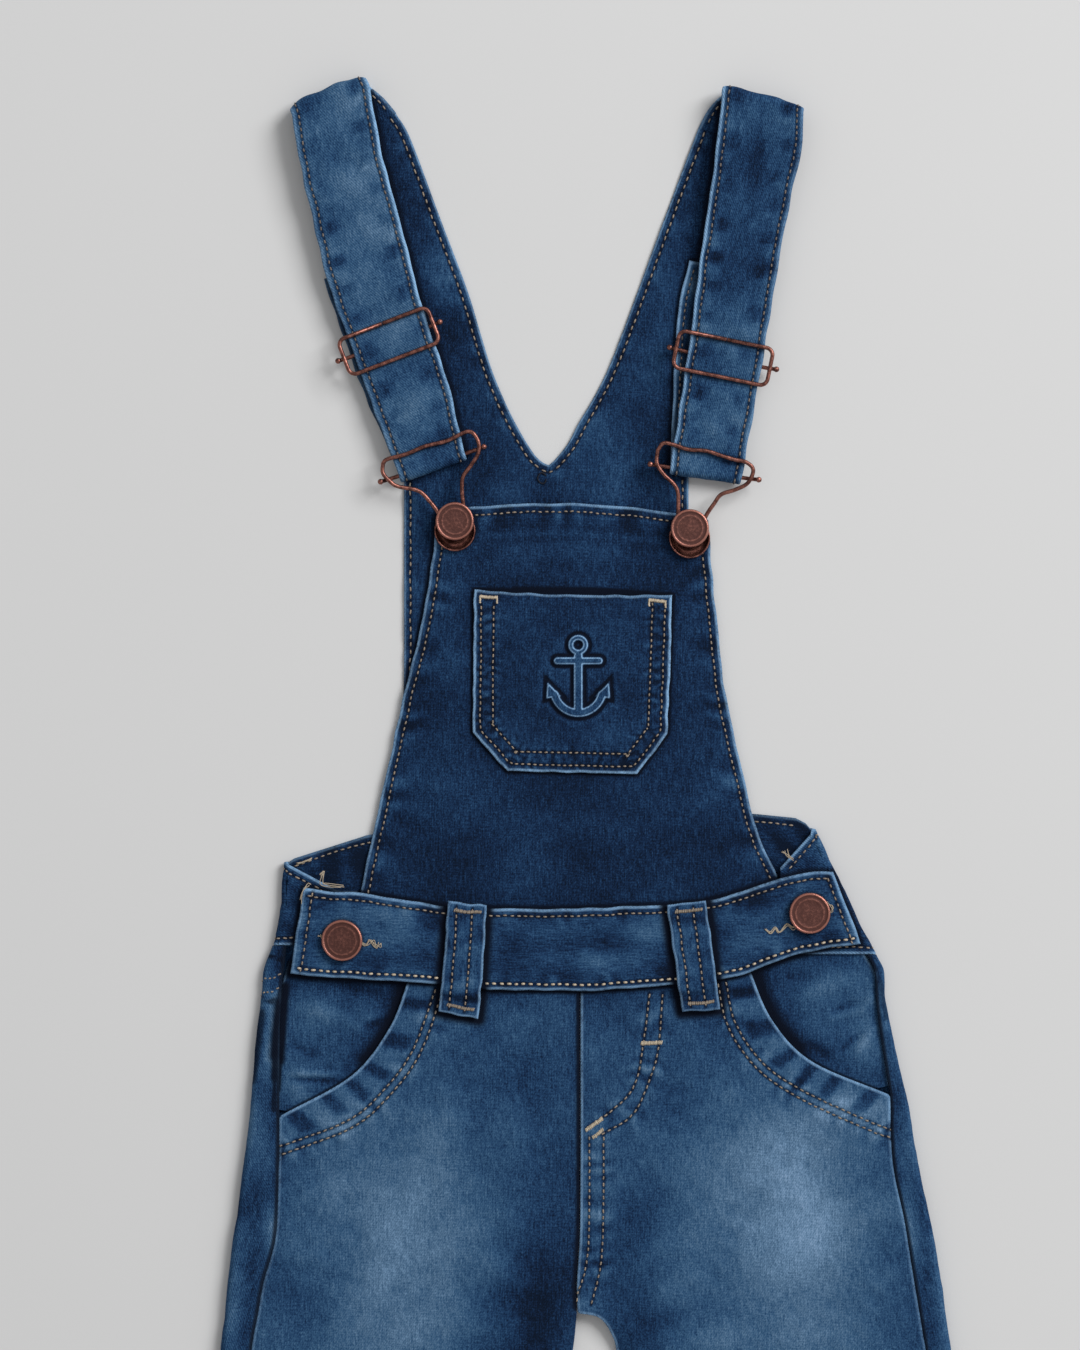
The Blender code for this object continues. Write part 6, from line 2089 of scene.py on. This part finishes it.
def floor_and_light():
    """Pale floor, even white light all round, one large lamp and the camera above."""
    corners = [(x * FLOOR_HALF, y * FLOOR_HALF, FLOOR_LOW) for x, y in SQUARE]
    floor = new_mesh("floor", corners, [np.arange(4)[None]], floor_finish())

    world = bpy.data.worlds.new("studio")
    bpy.context.scene.world = world
    world.use_nodes = True
    world.node_tree.nodes["Background"].inputs["Color"].default_value = (1.0, 1.0, 1.0, 1.0)
    world.node_tree.nodes["Background"].inputs["Strength"].default_value = WORLD_STRENGTH

    middle = metres([(*FRAME_MIDDLE, 0.0)])[0]
    lamp = bpy.data.lights.new("key", "AREA")
    lamp.shape = "SQUARE"
    lamp.size = KEY_SIZE
    lamp.energy = KEY_POWER
    key = bpy.data.objects.new("key", lamp)
    bpy.context.scene.collection.objects.link(key)
    key.location = middle + np.array(KEY_PLACE)
    x, y, z = KEY_PLACE
    key.rotation_euler = (math.atan2(math.hypot(x, y), z), 0.0, math.atan2(-y, -x) - math.pi / 2)

    view = bpy.data.cameras.new("camera")
    view.sensor_width = SENSOR
    view.lens = SENSOR * CAMERA_UP / (FRAME_HIGH * MM)
    view.clip_end = 50.0
    camera = bpy.data.objects.new("camera", view)
    bpy.context.scene.collection.objects.link(camera)
    camera.location = (middle[0], middle[1], CAMERA_UP)
    bpy.context.scene.camera = camera
    bpy.context.scene.view_settings.view_transform = "Standard"


# Frayed thread: places in plan, some raised a little, height, seed, copies and looseness
ON_BAND = BAND_TOP + 0.4
ON_BACK_BAND = 6.0
FRAYED = (
    (
        ((-90.1, 154), (-87.4, 152.2), (-84.7, 154.2), (-82.9, 151.3), (-80.9, 153.3)),
        ON_BAND, 3, 4, 0.45,
    ),
    (((-106.8, 156.6), (-105.4, 155.4, 0.3), (-104.2, 153.6)), ON_BAND, 5, 3, 0.5),
    (
        (
            (78, 159), (80.1, 157.2), (82, 159), (83.9, 157.6), (86.8, 160.7),
            (88.7, 159.2), (91.5, 160.2),
        ), ON_BAND, 7, 4, 0.45,
    ),
    (((103.4, 169.6), (105.4, 167.4, 0.3), (104.2, 165.6)), ON_BAND, 9, 3, 0.5),
    (
        ((-106.6, 180.6), (-104.8, 182.4), (-105.5, 177.7), (-102.8, 176.9), (-97, 177)),
        ON_BACK_BAND, 11, 3, 0.6,
    ),
    (((-114.8, 170.8), (-113.6, 173.6), (-111.6, 177)), ON_BAND, 13, 3, 0.5),
    (((85.4, 191.4), (87.4, 189.2, 0.4), (88.4, 187.6)), ON_BACK_BAND, 15, 4, 0.7),
)
INSIDE_TACK = ((-116.2, 185.6, 0.3), (-113.2, 186.6, 0.5), (-110.2, 187.6, 0.3))


def build_strands():
    """Frayed thread at the buttonholes and the back band's corners, and its sewing inside."""
    for places, height, seed, copies, loose in FRAYED:
        strand([(x, y, height + sum(up)) for x, y, *up in places], seed, copies, loose)
    top = np.column_stack([BACK_BAND_TOP_X, BACK_BAND_TOP_Y])[:-1]
    sew_level(beside(through(top, 8), -3.2), CLOTH + 0.1, "thread_back")
    strand([(x, y, CLOTH + up) for x, y, up in INSIDE_TACK], 21, 5, 0.25)
    turn = np.linspace(0.4, 2 * math.pi - 0.2, 9)
    loop = np.column_stack([-14.5 + 1.7 * np.cos(turn), 345.6 + 2.3 * np.sin(turn), 1.5 + 0 * turn])
    strand(loop, 17, 1, 0.1, "thread_loop")


build_cloth()
build_fittings()
build_strands()
strand_mesh("thread_ends", THREAD_CREAM)
strand_mesh("thread_loop", THREAD_NAVY, 0.3)
GROUP_THREADS = {
    "thread_waist_low": THREAD_CREAM, "thread_tacks": THREAD_CREAM, "thread_straps": THREAD_DULL,
}
for group in sorted(THREADS):
    stitch_mesh(group, GROUP_THREADS.get(group, THREAD_TAN))
floor_and_light()
